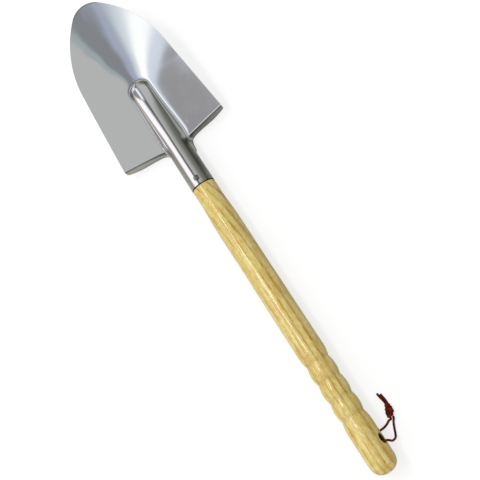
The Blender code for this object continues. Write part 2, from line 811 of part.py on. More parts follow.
def build_thong(place, material):
    """The thong's two strands and its knot with the tails."""
    routes = (("thong_strand_right", RIGHT_MOUTH, 1), ("thong_strand_left", LEFT_MOUTH, -1))
    for name, mouth, side in routes:
        points = bore_points(side) + [over_table(p) for p in mouth] + strand_end(side)
        lace_object(name, smooth_route(points, LACE_STEP), place, material)
    start, end, ahead = knot_axes()
    core = [start.lerp(end, i / CORE_STEPS) for i in range(CORE_STEPS + 1)]
    knot = add_object("thong_knot", tube_mesh("thong_knot", core, KNOT_CORE), material, place)
    turn = lathe("knot_turn", turn_profile(), NAIL_SIDES)
    for k in range(KNOT_TURNS):
        offset = (k - (KNOT_TURNS - 1) / 2) * KNOT_TURN_PITCH
        centre = start.lerp(end, 0.5) + offset * ahead
        heading = math.atan2(-ahead.x, ahead.y) + KNOT_TURN_SLANT
        turned = Matrix.Translation(centre) @ Matrix.Rotation(heading, 4, "Z")
        flat = Matrix.Diagonal((1, 1, KNOT_TURN_FLATNESS, 1))
        tool = add_object(f"knot_turn_{k + 1}", turn.copy(), None, place @ turned @ flat)
        boolean(knot, hide_tool(tool), "UNION")
    for k, tail in enumerate(TAILS):
        route = smooth_route([over_table(p) for p in tail], LACE_STEP)
        tool = add_object(f"knot_tail_{k + 1}", tube_mesh("knot_tail", route, LACE / 2), None, place)
        boolean(knot, hide_tool(tool), "UNION")
    return knot


def main():
    """Build the trowel."""
    for thing in list(bpy.data.objects):
        bpy.data.objects.remove(thing)
    steel = new_material("polished_steel", (0.60, 0.61, 0.61), 0.08, 1.0)
    wood = new_material("lacquered_ash", (0.76, 0.56, 0.26), 0.35, 0.0)
    zinc = new_material("nail_steel", (0.62, 0.62, 0.63), 0.25, 1.0)
    leather = new_material("red_brown_leather", (0.16, 0.03, 0.015), 0.55, 0.0)
    place = tool_place()
    nail_hole = build_nail(place, zinc)
    build_head(place, steel, nail_hole)
    build_handle(place, wood, nail_hole)
    build_thong(place, leather)


main()
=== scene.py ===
"""Looks of the long-handled trowel: polished steel head, lacquered ash handle, nail and leather thong.

Every piece is laid out on the handle's own axis, with y measured from the socket's mouth towards the blade's
tip and z from the axis, and is then placed in the world. Sizes are in metres.
"""

import logging
import math
from dataclasses import dataclass
from enum import Enum
from typing import Any, Iterable, Sequence

import bmesh
import bpy
import numpy as np
from mathutils import Matrix, Vector


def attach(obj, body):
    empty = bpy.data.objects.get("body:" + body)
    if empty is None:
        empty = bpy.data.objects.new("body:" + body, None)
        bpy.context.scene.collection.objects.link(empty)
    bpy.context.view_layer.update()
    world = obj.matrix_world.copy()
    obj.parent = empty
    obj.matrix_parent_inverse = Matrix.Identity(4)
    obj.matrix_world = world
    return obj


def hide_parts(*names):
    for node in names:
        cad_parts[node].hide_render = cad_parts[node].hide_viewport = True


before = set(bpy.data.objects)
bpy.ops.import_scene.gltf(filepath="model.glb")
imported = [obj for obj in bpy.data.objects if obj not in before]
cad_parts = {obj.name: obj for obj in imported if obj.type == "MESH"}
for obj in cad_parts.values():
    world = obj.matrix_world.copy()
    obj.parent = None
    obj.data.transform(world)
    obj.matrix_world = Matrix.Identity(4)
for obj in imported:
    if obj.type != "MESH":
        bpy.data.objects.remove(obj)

LOG = logging.getLogger("trowel")
BODY = "root"
WELD = 1e-5
QUARTER = math.pi / 2

Colour = tuple[float, float, float]
Pair = tuple[float, float]
Triple = tuple[float, float, float]


def lerp(a: float, b: float, t: float) -> float:
    """Value between a and b at the share t."""
    return a + (b - a) * t


def clamp(t: float) -> float:
    """t held between 0 and 1."""
    return max(0.0, min(1.0, t))


def smooth_step(t: float) -> float:
    """Ease from 0 to 1 with level ends."""
    t = clamp(t)
    return t * t * (3 - 2 * t)


def srgb(red: int, green: int, blue: int) -> Colour:
    """Linear colour of an 8-bit screen colour."""
    shares = (red / 255, green / 255, blue / 255)
    return tuple(c / 12.92 if c < 0.04045 else ((c + 0.055) / 1.055) ** 2.4 for c in shares)


# Node trees


class Signal:
    """A socket of a node tree. Arithmetic on it adds Math nodes."""

    def __init__(self, sheet: "NodeSheet", socket: bpy.types.NodeSocket) -> None:
        """Wrap an output socket of a node on this sheet."""
        self.sheet = sheet
        self.socket = socket

    def output(self, name: str) -> "Signal":
        """Another output of the same node."""
        return Signal(self.sheet, self.socket.node.outputs[name])

    def math(self, operation: str, *others: Any) -> "Signal":
        """Math node of this value and the others after it."""
        return self.sheet.calculate(operation, self, *others)

    def __add__(self, other: Any) -> "Signal":
        """Sum."""
        return self.math("ADD", other)

    def __radd__(self, other: Any) -> "Signal":
        """Sum with a number on the left."""
        return self.sheet.calculate("ADD", other, self)

    def __sub__(self, other: Any) -> "Signal":
        """Difference."""
        return self.math("SUBTRACT", other)

    def __rsub__(self, other: Any) -> "Signal":
        """Difference from a number on the left."""
        return self.sheet.calculate("SUBTRACT", other, self)

    def __mul__(self, other: Any) -> "Signal":
        """Product."""
        return self.math("MULTIPLY", other)

    def __rmul__(self, other: Any) -> "Signal":
        """Product with a number on the left."""
        return self.sheet.calculate("MULTIPLY", other, self)

    def __truediv__(self, other: Any) -> "Signal":
        """Quotient."""
        return self.math("DIVIDE", other)

    def __rtruediv__(self, other: Any) -> "Signal":
        """Quotient with a number on the left."""
        return self.sheet.calculate("DIVIDE", other, self)

    def __pow__(self, other: Any) -> "Signal":
        """Power."""
        return self.math("POWER", other)

    def at_least(self, other: Any) -> "Signal":
        """The larger of this value and another."""
        return self.math("MAXIMUM", other)

    def hypot(self, other: "Signal") -> "Signal":
        """Length of the line whose two sides are this value and another."""
        return (self * self + other * other) ** 0.5

    def rise(self, start: float, end: float) -> "Signal":
        """Smooth step of this value from 0 at start to 1 at end.

        Args:
            start: Value that gives 0.
            end: Value that gives 1.

        Returns:
            The stepped value.
        """
        limits = {"From Min": min(start, end), "From Max": max(start, end)}
        results = {"To Min": float(start > end), "To Max": float(start < end)}
        settings = {"interpolation_type": "SMOOTHSTEP"}
        return self.sheet.add("ShaderNodeMapRange", settings, {"Value": self, **limits, **results}, "Result")


class NodeSheet:
    """One node tree, to which a single method adds every node."""

    def __init__(self, tree: bpy.types.NodeTree) -> None:
        """Wrap an empty or ready tree."""
        self.tree = tree

    def add(
        self,
        kind: str,
        settings: dict[str, Any] | None = None,
        inputs: dict[str | int, Any] | None = None,
        output: str | int = 0,
    ) -> Signal:
        """Add a node, set it, then fill its sockets.

        Args:
            kind: The node's type.
            settings: Its own settings, set first.
            inputs: Values or signals of its input sockets, by name or number.
            output: The output to return.

        Returns:
            The chosen output of the node.
        """
        node = self.tree.nodes.new(kind)
        for name, value in (settings or {}).items():
            setattr(node, name, value)
        for name, value in (inputs or {}).items():
            self.feed(node.inputs[name], value)
        return Signal(self, node.outputs[output] if len(node.outputs) else node.inputs[0])

    def feed(self, socket: bpy.types.NodeSocket, value: Any) -> None:
        """Give a socket a value or link it to a signal.

        Args:
            socket: The input socket.
            value: Its value or signal.
        """
        if isinstance(value, Signal):
            self.tree.links.new(value.socket, socket)
        else:
            socket.default_value = value

    def calculate(self, operation: str, *values: Any) -> Signal:
        """Result of a Math node with these values, in order."""
        return self.add("ShaderNodeMath", {"operation": operation}, dict(enumerate(values)))

    def split(self, vector: Signal) -> tuple[Signal, Signal, Signal]:
        """The three components of a vector."""
        x = self.add("ShaderNodeSeparateXYZ", {}, {"Vector": vector}, "X")
        return x, x.output("Y"), x.output("Z")

    def mix(self, share: Any, first: Any, second: Any) -> Signal:
        """Mix of two colours, with this share of the second."""
        first, second = ((*c, 1.0) if isinstance(c, tuple) else c for c in (first, second))
        return self.add("ShaderNodeMix", {"data_type": "RGBA"}, {0: share, 6: first, 7: second}, 2)

    def layered(self, base: Any, *layers: tuple[Any, Any]) -> Any:
        """Colour under layers of other colours.

        Args:
            base: The colour or signal at the bottom.
            layers: Share and colour of each layer, from the lowest.

        Returns:
            The layered colour.
        """
        for share, colour in layers:
            base = self.mix(share, base, colour)
        return base

    def noise(self, where: Signal, scale: float, detail: float = 3.0, roughness: float = 0.6) -> Signal:
        """Noise from 0 to 1 at these coordinates, with its scale in features per metre."""
        values = {"Vector": where, "Scale": scale, "Detail": detail, "Roughness": roughness}
        return self.add("ShaderNodeTexNoise", {"noise_dimensions": "3D"}, values)


class MaterialSheet(NodeSheet):
    """Node sheet of a material with one Principled shader."""

    def __init__(self, name: str) -> None:
        """Make the material.

        Args:
            name: The material's name.
        """
        self.material = bpy.data.materials.new(name)
        self.material.use_nodes = True
        super().__init__(self.material.node_tree)

    def dress(self, inputs: dict[str, Any]) -> bpy.types.Material:
        """Fill the shader's sockets.

        Args:
            inputs: Values or signals by socket name.

        Returns:
            The material.
        """
        shader = self.tree.nodes["Principled BSDF"]
        for name, value in inputs.items():
            self.feed(shader.inputs[name], value)
        return self.material

    def bump(self, height: Signal, depth: float = 1.0, strength: float = 1.0) -> Signal:
        """Normal bent by a relief, whose height is a share of its depth in metres."""
        values = {"Height": height, "Distance": depth, "Strength": strength}
        return self.add("ShaderNodeBump", {}, values, "Normal")


# Places


@dataclass(frozen=True)
class ToolAxis:
    """The handle's axis in the world, tilted a little because the tool rests on its treads and its thong."""

    mouth_y: float = 0.062759
    mouth_z: float = 0.014643
    tilt: float = math.radians(0.5229)

    def place(self) -> Matrix:
        """World matrix of the axis."""
        return Matrix.Translation((0, self.mouth_y, self.mouth_z)) @ Matrix.Rotation(-self.tilt, 4, "X")

    def point(self, x: float, y: float, z: float) -> Vector:
        """World point of one that is laid out on the axis."""
        return self.place() @ Vector((x, y, z))

    def over_table(self, x: float, y: float, height: float) -> Vector:
        """World point at x and y on the axis, with its height measured from the table."""
        height_of_axis = self.mouth_z - y * math.tan(self.tilt)
        return self.point(x, y, height - height_of_axis)

    def coordinates(self, sheet: NodeSheet) -> Signal:
        """Object coordinates turned to the axis.

        Args:
            sheet: The sheet to add the nodes to.

        Returns:
            The turned coordinates.
        """
        where = sheet.add("ShaderNodeTexCoord", output="Object")
        place = {"Vector": where, "Location": (0, self.mouth_y, self.mouth_z), "Rotation": (-self.tilt, 0, 0)}
        return sheet.add("ShaderNodeMapping", {"vector_type": "TEXTURE"}, place)


AXIS = ToolAxis()


@dataclass(frozen=True)
class Landmarks:
    """Places on the axis that several pieces or finishes share."""

    shoulder_slope: float = math.radians(4.5)
    nose_y: float = 0.1290
    nose_length: float = 0.0072
    nose_half_width: float = 0.0112
    tip_radius: float = 0.0265
    neck_y: float = 0.0535
    hole_y: float = -0.3308
    hole_rise: float = math.radians(15)

    def in_hole(self, run: float) -> Vector:
        """World point on the cross hole's line, this far to the right of its middle."""
        return AXIS.point(run * math.cos(self.hole_rise), self.hole_y, run * math.sin(self.hole_rise))


MARKS = Landmarks()


# Finishes


@dataclass(frozen=True)
class Fibres:
    """Noise drawn out along the handle, with the two of its values between which it steps."""

    stretch: float
    scale: float
    steps: Pair = (0.0, 1.0)
    detail: float = 3.0

    def noise(self, sheet: NodeSheet, where: Signal) -> Signal:
        """The noise on this sheet at these coordinates on the axis."""
        drawn = sheet.add("ShaderNodeMapping", {}, {"Vector": where, "Scale": (1.0, self.stretch, 1.0)})
        return sheet.noise(drawn, self.scale, self.detail)

    def marks(self, sheet: NodeSheet, where: Signal) -> Signal:
        """The noise, stepped from 0 to 1."""
        return self.noise(sheet, where).rise(*self.steps)


@dataclass(frozen=True)
class PolishedSteel:
    """Mirror-polished stainless steel, rougher on the treads and under the socket, where no wheel reaches,
    and darkened there with painted shade in place of dark reflections.
    """

    reflectance: Colour = (0.660, 0.665, 0.660)
    roughness: float = 0.045
    haze: float = 0.05
    haze_cloud: Pair = (0.4, 0.8)
    haze_cloud_share: float = 0.6
    haze_lines: Pair = (0.45, 0.75)
    haze_lines_share: float = 0.4
    cloud_scale: float = 40.0
    lines: Fibres = Fibres(0.02, 1 / 0.00035)
    line_depth: float = 0.0000004
    press_mark: Pair = (0.0275, 0.0720)
    press_radii: Pair = (0.0052, 0.0030)
    press_depth: float = 0.000009
    swell_pitch: float = 0.034
    swell_detail: Pair = (1.0, 0.5)
    swell_depth: float = 0.00034
    swell_sides: Pair = (0.018, -0.006)
    swell_start: Pair = (0.120, 0.150)
    # painted shade: the three colours below darken the treads and the socket's underside in place of dark
    # reflections; lighter on the left, darker on the right and low on the treads
    painted_shade_left: Colour = (0.27, 0.265, 0.22)
    painted_shade_right: Colour = (0.085, 0.090, 0.070)
    painted_shade_low: Colour = (0.085, 0.080, 0.055)
    painted_shade_heights: Pair = (-0.0070, -0.0135)
    painted_shade_sides: Pair = (-0.012, 0.006)
    dull_cloud: Pair = (0.35, 0.7)
    dull_play: float = 0.1
    dull_roughness: float = 0.30
    shoulder_y: float = 0.0600
    socket_side: float = 0.0133
    tread_rise: Pair = (0.0010, 0.0018)
    tread_sides: Pair = (0.0143, 0.0183)
    socket_end: Pair = (0.0580, 0.0520)
    socket_polish: Pair = (0.0116, 0.0090)
    nose_inside: Pair = (0.35, 0.85)
    nose_outside: Pair = (1.30, 1.05)
    nose_sides: Pair = (0.0010, -0.0045)
    nose_start: Pair = (0.1180, 0.1290)
    # painted reflection: a dark crescent on the left of the frog's nose
    nose_painted_reflection: Colour = (0.08, 0.085, 0.09)
    nose_share: float = 0.85
    # painted shade: a dark line along the tip's edge and round the socket's mouth
    tip_centre_y: float = 0.2110
    tip_rim: Pair = (0.0012, 0.0006)
    tip_spread: float = math.radians(42)
    tip_fade: Pair = (0.0, 0.004)
    tip_share: float = 0.7
    painted_edge_shade: Colour = (0.06, 0.055, 0.045)
    rim_width: Pair = (0.0009, 0.0004)

    def material(self) -> bpy.types.Material:
        """Build the finish.

        Returns:
            The material.
        """
        sheet = MaterialSheet("polished_steel")
        where = AXIS.coordinates(sheet)
        x, y, z = sheet.split(where)
        aside = x.math("ABSOLUTE")
        lines = self.lines.noise(sheet, where)
        cloud = sheet.noise(where, self.cloud_scale)
        swell = sheet.noise(where, 1 / self.swell_pitch, *self.swell_detail)
        swell = swell * x.rise(*self.swell_sides) * y.rise(*self.swell_start)
        press = (x - self.press_mark[0]).hypot(y - self.press_mark[1]).rise(*self.press_radii)
        height = lines * self.line_depth + swell * self.swell_depth - press * self.press_depth
        shoulder = (aside - self.socket_side) * math.tan(MARKS.shoulder_slope) + self.shoulder_y
        tread = (shoulder - y).rise(*self.tread_rise) * aside.rise(*self.tread_sides)
        lower = z.rise(*self.socket_polish) * y.rise(*self.socket_end)
        cover = 1 - self.dull_play + cloud.rise(*self.dull_cloud) * self.dull_play
        # rougher where no wheel reaches; the same mask darkens the colour there as painted shade
        unpolished_and_shaded = tread.at_least(lower) * cover
        # painted reflection: the dark crescent on the left of the frog's nose
        ahead = ((y - MARKS.nose_y) / MARKS.nose_length).at_least(0.0)
        reach = (x / MARKS.nose_half_width).hypot(ahead)
        foot = reach.rise(*self.nose_inside) * reach.rise(*self.nose_outside)
        foot = foot * x.rise(*self.nose_sides) * y.rise(*self.nose_start)
        # painted shade: the dark line along the tip's edge
        beyond = y - self.tip_centre_y
        edge = (MARKS.tip_radius - x.hypot(beyond)).rise(*self.tip_rim)
        edge = edge * (beyond - aside / math.tan(self.tip_spread)).rise(*self.tip_fade)
        # painted shade in place of dark reflections: lighter on the left, darker on the right and low on the
        # treads
        to_right, low = x.rise(*self.painted_shade_sides), z.rise(*self.painted_shade_heights) * tread
        stain = sheet.layered(self.painted_shade_left, (to_right, self.painted_shade_right), (low, self.painted_shade_low))
        steel = sheet.layered(
            self.reflectance,
            (unpolished_and_shaded, stain),
            (foot * self.nose_share, self.nose_painted_reflection),
            (edge * self.tip_share, self.painted_edge_shade),
            (y.rise(*self.rim_width), self.painted_edge_shade),
        )
        haze = cloud.rise(*self.haze_cloud) * self.haze_cloud_share
        haze = haze + lines.rise(*self.haze_lines) * self.haze_lines_share
        return sheet.dress(
            {
                "Base Color": steel,
                "Metallic": 1.0,
                "Roughness": self.roughness + haze * self.haze + unpolished_and_shaded * self.dull_roughness,
                "Normal": sheet.bump(height),
            }
        )


@dataclass(frozen=True)
class LacqueredAsh:
    """Clear-lacquered ash: golden wood with brown rows of pores where its growth rings meet the surface."""

    pale: Colour = srgb(240, 223, 150)
    warm: Colour = srgb(209, 182, 88)
    amber: Colour = srgb(208, 168, 76)
    pore: Colour = srgb(178, 121, 34)
    # grime with painted shade: darker in the finger grooves
    handling_grime_and_shade: Colour = srgb(160, 130, 66)
    # painted shade: dark inside the cross hole
    bore: Colour = srgb(70, 44, 16)
    roughness: float = 0.45
    reflection: float = 0.1
    tone: Fibres = Fibres(0.12, 150.0, (0.32, 0.68))
    mottle: Fibres = Fibres(0.35, 480.0, (0.36, 0.64))
    blotch: Fibres = Fibres(0.30, 130.0, (0.50, 0.70))
    blotch_share: float = 0.65
    dashes: Fibres = Fibres(0.13, 700.0, (0.38, 0.58))
    dash_gap: float = 0.35
    rows: Fibres = Fibres(0.30, 60.0, (0.34, 0.62))
    row_gap: float = 0.25
    specks: Fibres = Fibres(0.12, 1300.0, (0.57, 0.68))
    speck_share: float = 0.45
    early_start: Pair = (0.0, 0.12)
    early_end: Pair = (0.56, 0.16)
    pore_share: float = 0.85
    pore_depth: float = 0.00001
    pore_relief: float = 0.4
    ring_pitch: float = 0.0066
    ring_phase: float = 0.0045
    ring_curve: float = 3.0
    waver: Fibres = Fibres(0.45, 17.0, detail=1.0)
    waver_reach: float = 0.0045
    tremble: Fibres = Fibres(0.30, 190.0)
    tremble_reach: float = 0.0013
    bend: float = 0.0170
    bend_run: float = 0.0430
    lacquer: Pair = (0.06, 0.95)
    lacquer_rise: Pair = (0.0015, 0.0115)
    lacquer_roughness: float = 0.125
    lacquer_ior: float = 1.5
    groove_start: Pair = (-0.2080, -0.2160)
    groove_end: Pair = (-0.3280, -0.3200)
    groove_radii: Pair = (0.0144, 0.0131)
    grime_and_shade_share: float = 0.18
    bore_shade_radii: Pair = (0.0066, 0.0052)

    def material(self) -> bpy.types.Material:
        """Build the finish.

        Returns:
            The material.
        """
        sheet = MaterialSheet("lacquered_ash")
        where = AXIS.coordinates(sheet)
        x, y, z = sheet.split(where)
        share = self._ring(sheet, where)
        early = share.rise(*self.early_start) * share.rise(*self.early_end)
        dashes = self.dash_gap + (1 - self.dash_gap) * self.dashes.marks(sheet, where)
        rows = self.row_gap + (1 - self.row_gap) * self.rows.marks(sheet, where)
        mark = (early * dashes * rows).at_least(self.specks.marks(sheet, where) * self.speck_share)
        tone = (self.tone.marks(sheet, where) + self.mottle.marks(sheet, where)) * 0.5
        # grime with painted shade in the finger grooves
        groove = x.hypot(z).rise(*self.groove_radii) * y.rise(*self.groove_start) * y.rise(*self.groove_end)
        # painted shade inside the cross hole
        over_bore = z * math.cos(MARKS.hole_rise) - x * math.sin(MARKS.hole_rise)
        bore = over_bore.hypot(y - MARKS.hole_y).rise(*self.bore_shade_radii)
        wood = sheet.layered(
            self.pale,
            (tone, self.warm),
            (self.blotch.marks(sheet, where) * self.blotch_share, self.amber),
            (mark * self.pore_share, self.pore),
            (groove * self.grime_and_shade_share, self.handling_grime_and_shade),
            (bore, self.bore),
        )
        thin, full = self.lacquer
        return sheet.dress(
            {
                "Base Color": wood,
                "Roughness": self.roughness,
                "Specular IOR Level": self.reflection,
                "Coat Weight": z.rise(*self.lacquer_rise) * (full - thin) + thin,
                "Coat Roughness": self.lacquer_roughness,
                "Coat IOR": self.lacquer_ior,
                "Normal": sheet.bump(1 - mark, self.pore_depth, self.pore_relief),
            }
        )

    def _ring(self, sheet: NodeSheet, where: Signal) -> Signal:
        """Share of the way from one growth ring to the next.

        Args:
            sheet: The material's sheet.
            where: Coordinates on the axis.

        Returns:
            The share.
        """
        x, y, z = sheet.split(where)
        bent = x + (y / self.bend_run).math("EXPONENT") * self.bend + self.ring_phase
        cupped = z * z * self.ring_curve
        waver = (self.waver.noise(sheet, where) - 0.5) * self.waver_reach
        tremble = (self.tremble.noise(sheet, where) - 0.5) * self.tremble_reach
        return ((bent + cupped + waver + tremble) / self.ring_pitch).math("FRACT")


@dataclass(frozen=True)
class NailSteel:
    """Drawn steel of the nail, dulled by its hammering."""

    reflectance: Colour = (0.24, 0.24, 0.235)
    stained: Colour = (0.14, 0.135, 0.12)
    stain_scale: float = 1600.0
    stain_detail: Pair = (3.0, 0.5)
    stain_steps: Pair = (0.45, 0.8)
    stain_roughness: float = 0.15
    roughness: float = 0.16
    dent_scale: float = 900.0
    dent_detail: Pair = (2.0, 0.5)
    dent_depth: float = 0.00008

    def material(self) -> bpy.types.Material:
        """Build the finish.

        Returns:
            The material.
        """
        sheet = MaterialSheet("nail_steel")
        where = AXIS.coordinates(sheet)
        stain = sheet.noise(where, self.stain_scale, *self.stain_detail)
        dents = sheet.noise(where, self.dent_scale, *self.dent_detail)
        return sheet.dress(
            {
                "Base Color": sheet.mix(stain.rise(*self.stain_steps), self.reflectance, self.stained),
                "Metallic": 1.0,
                "Roughness": self.roughness + stain * self.stain_roughness,
                "Normal": sheet.bump(dents, self.dent_depth),
            }
        )


@dataclass(frozen=True)
class RedBrownLeather:
    """Dyed leather lace: a dark grain side with cracks that show the lighter core."""

    dark: Colour = srgb(86, 16, 3)
    light: Colour = srgb(160, 64, 16)
    reflection: float = 0.12
    roughness: float = 0.6
    fibre_roughness: float = 0.2
    worn_polish: float = 0.1
    patch_scale: float = 260.0
    patch_steps: Pair = (0.42, 0.72)
    fibre_scale: float = 2600.0
    fibre_detail: Pair = (3.0, 0.65)
    fibre_steps: Pair = (0.4, 0.7)
    grain_scale: float = 1900.0
    crease_steps: Pair = (0.0, 0.12)
    crease_share: float = 0.7
    relief: float = 0.00012

    def material(self) -> bpy.types.Material:
        """Build the finish.

        Returns:
            The material.
        """
        sheet = MaterialSheet("red_brown_leather")
        where = sheet.add("ShaderNodeTexCoord", output="Object")
        cells = {"Vector": where, "Scale": self.grain_scale}
        crease = sheet.add("ShaderNodeTexVoronoi", {"feature": "DISTANCE_TO_EDGE"}, cells)
        crease = crease.rise(*self.crease_steps)
        fibres = sheet.noise(where, self.fibre_scale, *self.fibre_detail)
        worn = sheet.noise(where, self.patch_scale).rise(*self.patch_steps)
        worn = worn * (0.5 + 0.5 * fibres.rise(*self.fibre_steps))
        height = crease * self.crease_share + fibres * (1 - self.crease_share)
        return sheet.dress(
            {
                "Base Color": sheet.mix(worn, self.dark, self.light),
                "Specular IOR Level": self.reflection,
                "Roughness": self.roughness + fibres * self.fibre_roughness - worn * self.worn_polish,
                "Normal": sheet.bump(height, self.relief),
            }
        )


# Geometry Nodes trees


class ShapeTree(NodeSheet):
    """Geometry Nodes tree with named inputs, whose result becomes a plain mesh."""

    def __init__(self, name: str, **inputs: str) -> None:
        """Make the tree.

        Args:
            name: The tree's name.
            inputs: Kind of each named input besides the line, the section's sides and the finish.
        """
        super().__init__(bpy.data.node_groups.new(name, "GeometryNodeTree"))
        kinds = {"Line": "Geometry", "sides": "Int", **inputs, "finish": "Material"}
        for label, kind in kinds.items():
            self.tree.interface.new_socket(label, in_out="INPUT", socket_type="NodeSocket" + kind)
        self.tree.interface.new_socket("Body", in_out="OUTPUT", socket_type="NodeSocketGeometry")
        self.given = self.add("NodeGroupInput", output="Line")
        self.curve = self.add("GeometryNodeMeshToCurve", {}, {"Mesh": self.given})
        size = {"Resolution": self.given.output("sides"), "Radius": 1.0}
        self.ring = self.add("GeometryNodeCurvePrimitiveCircle", {}, size)

    def read(self, name: str, kind: str) -> Signal:
        """Attribute of the line, by its name and kind."""
        return self.add("GeometryNodeInputNamedAttribute", {"data_type": kind}, {"Name": name})

    def close(self, shape: Signal) -> None:
        """End the tree with real geometry in its finish.

        Args:
            shape: The finished geometry.
        """
        real = self.add("GeometryNodeRealizeInstances", {}, {"Geometry": shape})
        finish = self.given.output("finish")
        dressed = self.add("GeometryNodeSetMaterial", {}, {"Geometry": real, "Material": finish})
        self.add("NodeGroupOutput", {}, {"Body": dressed})

    def make(
        self,
        name: str,
        points: Sequence[Vector],
        radii: Sequence[float] = (),
        facings: Sequence[Vector] = (),
        **values: Any,
    ) -> bpy.types.Mesh:
        """Run the tree on a line of points.

        Args:
            name: The mesh's name.
            points: The line's points in the world.
            radii: The radius at each point, where the tree reads one.
            facings: The flat side's direction at each point, where the tree reads one.
            values: Value of each named input.

        Returns:
            The evaluated mesh with its faces turned outward.
        """
        line = bpy.data.meshes.new(name + "_line")
        line.from_pydata(points, [(i, i + 1) for i in range(len(points) - 1)], [])
        if radii:
            line.attributes.new("radius", "FLOAT", "POINT").data.foreach_set("value", radii)
        if facings:
            flat = [c for facing in facings for c in facing]
            line.attributes.new("facing", "FLOAT_VECTOR", "POINT").data.foreach_set("vector", flat)
        carrier = show(name + "_line", line)
        modifier = carrier.modifiers.new("shape", "NODES")
        modifier.node_group = self.tree
        for item in self.tree.interface.items_tree:
            if item.in_out == "INPUT" and item.name in values:
                modifier[item.identifier] = values[item.name]
        mesh = plain_mesh(carrier, name)
        bpy.data.objects.remove(carrier)
        outward(mesh)
        return mesh


class TurnedBody(ShapeTree):
    """Turns a line with a radius at each point into a closed round body."""

    patch_scale = 60.0

    def __init__(self) -> None:
        """Build the tree."""
        super().__init__("turned_body", unevenness="Float", seed="Int")
        where = self.add("GeometryNodeInputPosition")
        patches = {"Vector": where, "W": self.given.output("seed"), "Scale": self.patch_scale, "Detail": 1.0}
        wander = self.add("ShaderNodeTexNoise", {"noise_dimensions": "4D"}, patches)
        scale = self.read("radius", "FLOAT") * (1 + (wander - 0.5) * self.given.output("unevenness"))
        sweep = {"Curve": self.curve, "Profile Curve": self.ring, "Scale": scale}
        body = self.add("GeometryNodeCurveToMesh", {}, sweep)
        self.close(self.add("GeometryNodeMergeByDistance", {}, {"Geometry": body, "Distance": WELD / 10}))


class LaceBody(ShapeTree):
    """Sweeps the flattened section of a lace along a line, with its flat side where the line faces."""

    def __init__(self) -> None:
        """Build the tree."""
        super().__init__("lace_body", half_width="Float", half_thickness="Float", squareness="Float")
        facing = self.read("facing", "FLOAT_VECTOR")
        turned = self.add(
            "GeometryNodeSetCurveNormal", {"mode": "FREE"}, {"Curve": self.curve, "Normal": facing}
        )
        x, y, _ = self.split(self.add("GeometryNodeInputPosition"))
        power = 2 / self.given.output("squareness")
        x, y = (c.math("SIGN") * c.math("ABSOLUTE") ** power for c in (x, y))
        x, y = x * self.given.output("half_thickness"), y * self.given.output("half_width")
        corner = self.add("ShaderNodeCombineXYZ", {}, {"X": x, "Y": y, "Z": 0.0})
        section = self.add("GeometryNodeSetPosition", {}, {"Geometry": self.ring, "Position": corner})
        sweep = {"Curve": turned, "Profile Curve": section, "Fill Caps": True}
        self.close(self.add("GeometryNodeCurveToMesh", {}, sweep))


# Meshes


def plain_mesh(thing: bpy.types.Object, name: str) -> bpy.types.Mesh:
    """Mesh of an object with its modifiers applied.

    Args:
        thing: The object, at the origin.
        name: The new mesh's name.

    Returns:
        The plain mesh.
    """
    graph = bpy.context.evaluated_depsgraph_get()
    graph.update()
    mesh = bpy.data.meshes.new_from_object(thing.evaluated_get(graph), depsgraph=graph)
    mesh.name = name
    return mesh


def outward(mesh: bpy.types.Mesh) -> None:
    """Turn a closed mesh's faces outward, also where it passes through itself.

    Args:
        mesh: The mesh.
    """
    work = bmesh.new()
    work.from_mesh(mesh)
    bmesh.ops.recalc_face_normals(work, faces=work.faces)
    if work.calc_volume(signed=True) < 0:
        bmesh.ops.reverse_faces(work, faces=work.faces)
    work.to_mesh(mesh)
    work.free()


def joined(meshes: Iterable[bpy.types.Mesh], name: str) -> bpy.types.Mesh:
    """One mesh of several.

    Args:
        meshes: The meshes.
        name: The new mesh's name.

    Returns:
        The mesh.
    """
    work = bmesh.new()
    for mesh in meshes:
        work.from_mesh(mesh)
    whole = bpy.data.meshes.new(name)
    work.to_mesh(whole)
    work.free()
    return whole


def show(name: str, data: bpy.types.ID) -> bpy.types.Object:
    """Put data in the scene.

    Args:
        name: The new name of the object and its data.
        data: A mesh, camera or light.

    Returns:
        The new object at the origin.
    """
    data.name = name
    thing = bpy.data.objects.new(name, data)
    bpy.context.scene.collection.objects.link(thing)
    return thing


def shaped(name: str, mesh: bpy.types.Mesh, steps: Sequence[tuple[str, dict[str, Any]]]) -> bpy.types.Mesh:
    """Mesh after these modifiers.

    Args:
        name: The new mesh's name.
        mesh: The mesh to start from.
        steps: Type and settings of each modifier, in order.

    Returns:
        The plain mesh.
    """
    work = show(name + "_work", mesh)
    for kind, settings in steps:
        modifier = work.modifiers.new(kind.lower(), kind)
        for key, value in settings.items():
            setattr(modifier, key, value)
    result = plain_mesh(work, name)
    bpy.data.objects.remove(work)
    return result


def cut(name: str, mesh: bpy.types.Mesh, cutters: Sequence[bpy.types.Mesh]) -> bpy.types.Mesh:
    """Mesh with the cutters taken away.

    Args:
        name: The new mesh's name.
        mesh: The closed mesh.
        cutters: Closed meshes.

    Returns:
        The cut mesh.
    """
    tools = [show(f"{name}_cutter_{i}", cutter) for i, cutter in enumerate(cutters)]
    steps = [("BOOLEAN", {"operation": "DIFFERENCE", "solver": "EXACT", "object": tool}) for tool in tools]
    result = shaped(name, mesh, steps)
    for tool in tools:
        bpy.data.objects.remove(tool)
    return result


def settle(
    mesh: bpy.types.Mesh, sharp: float, finish: bpy.types.Material, slot: str, name: str, node: str
) -> bpy.types.Object:
    """Show a finished mesh in place of a CAD node.

    Args:
        mesh: The piece's mesh.
        sharp: Angle in degrees from which an edge stays sharp.
        finish: Its material.
        slot: Not used.
        name: The piece's name.
        node: The CAD node that it stands for.

    Returns:
        The piece.
    """
    mesh.shade_smooth()
    mesh.set_sharp_from_angle(angle=math.radians(sharp))
    mesh.materials.clear()
    mesh.materials.append(finish)
    piece = show(name, mesh)
    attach(piece, BODY)
    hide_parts(node)
    LOG.info("%s: %d faces", name, len(mesh.polygons))
    return piece


ROUTE_FINENESS = 24


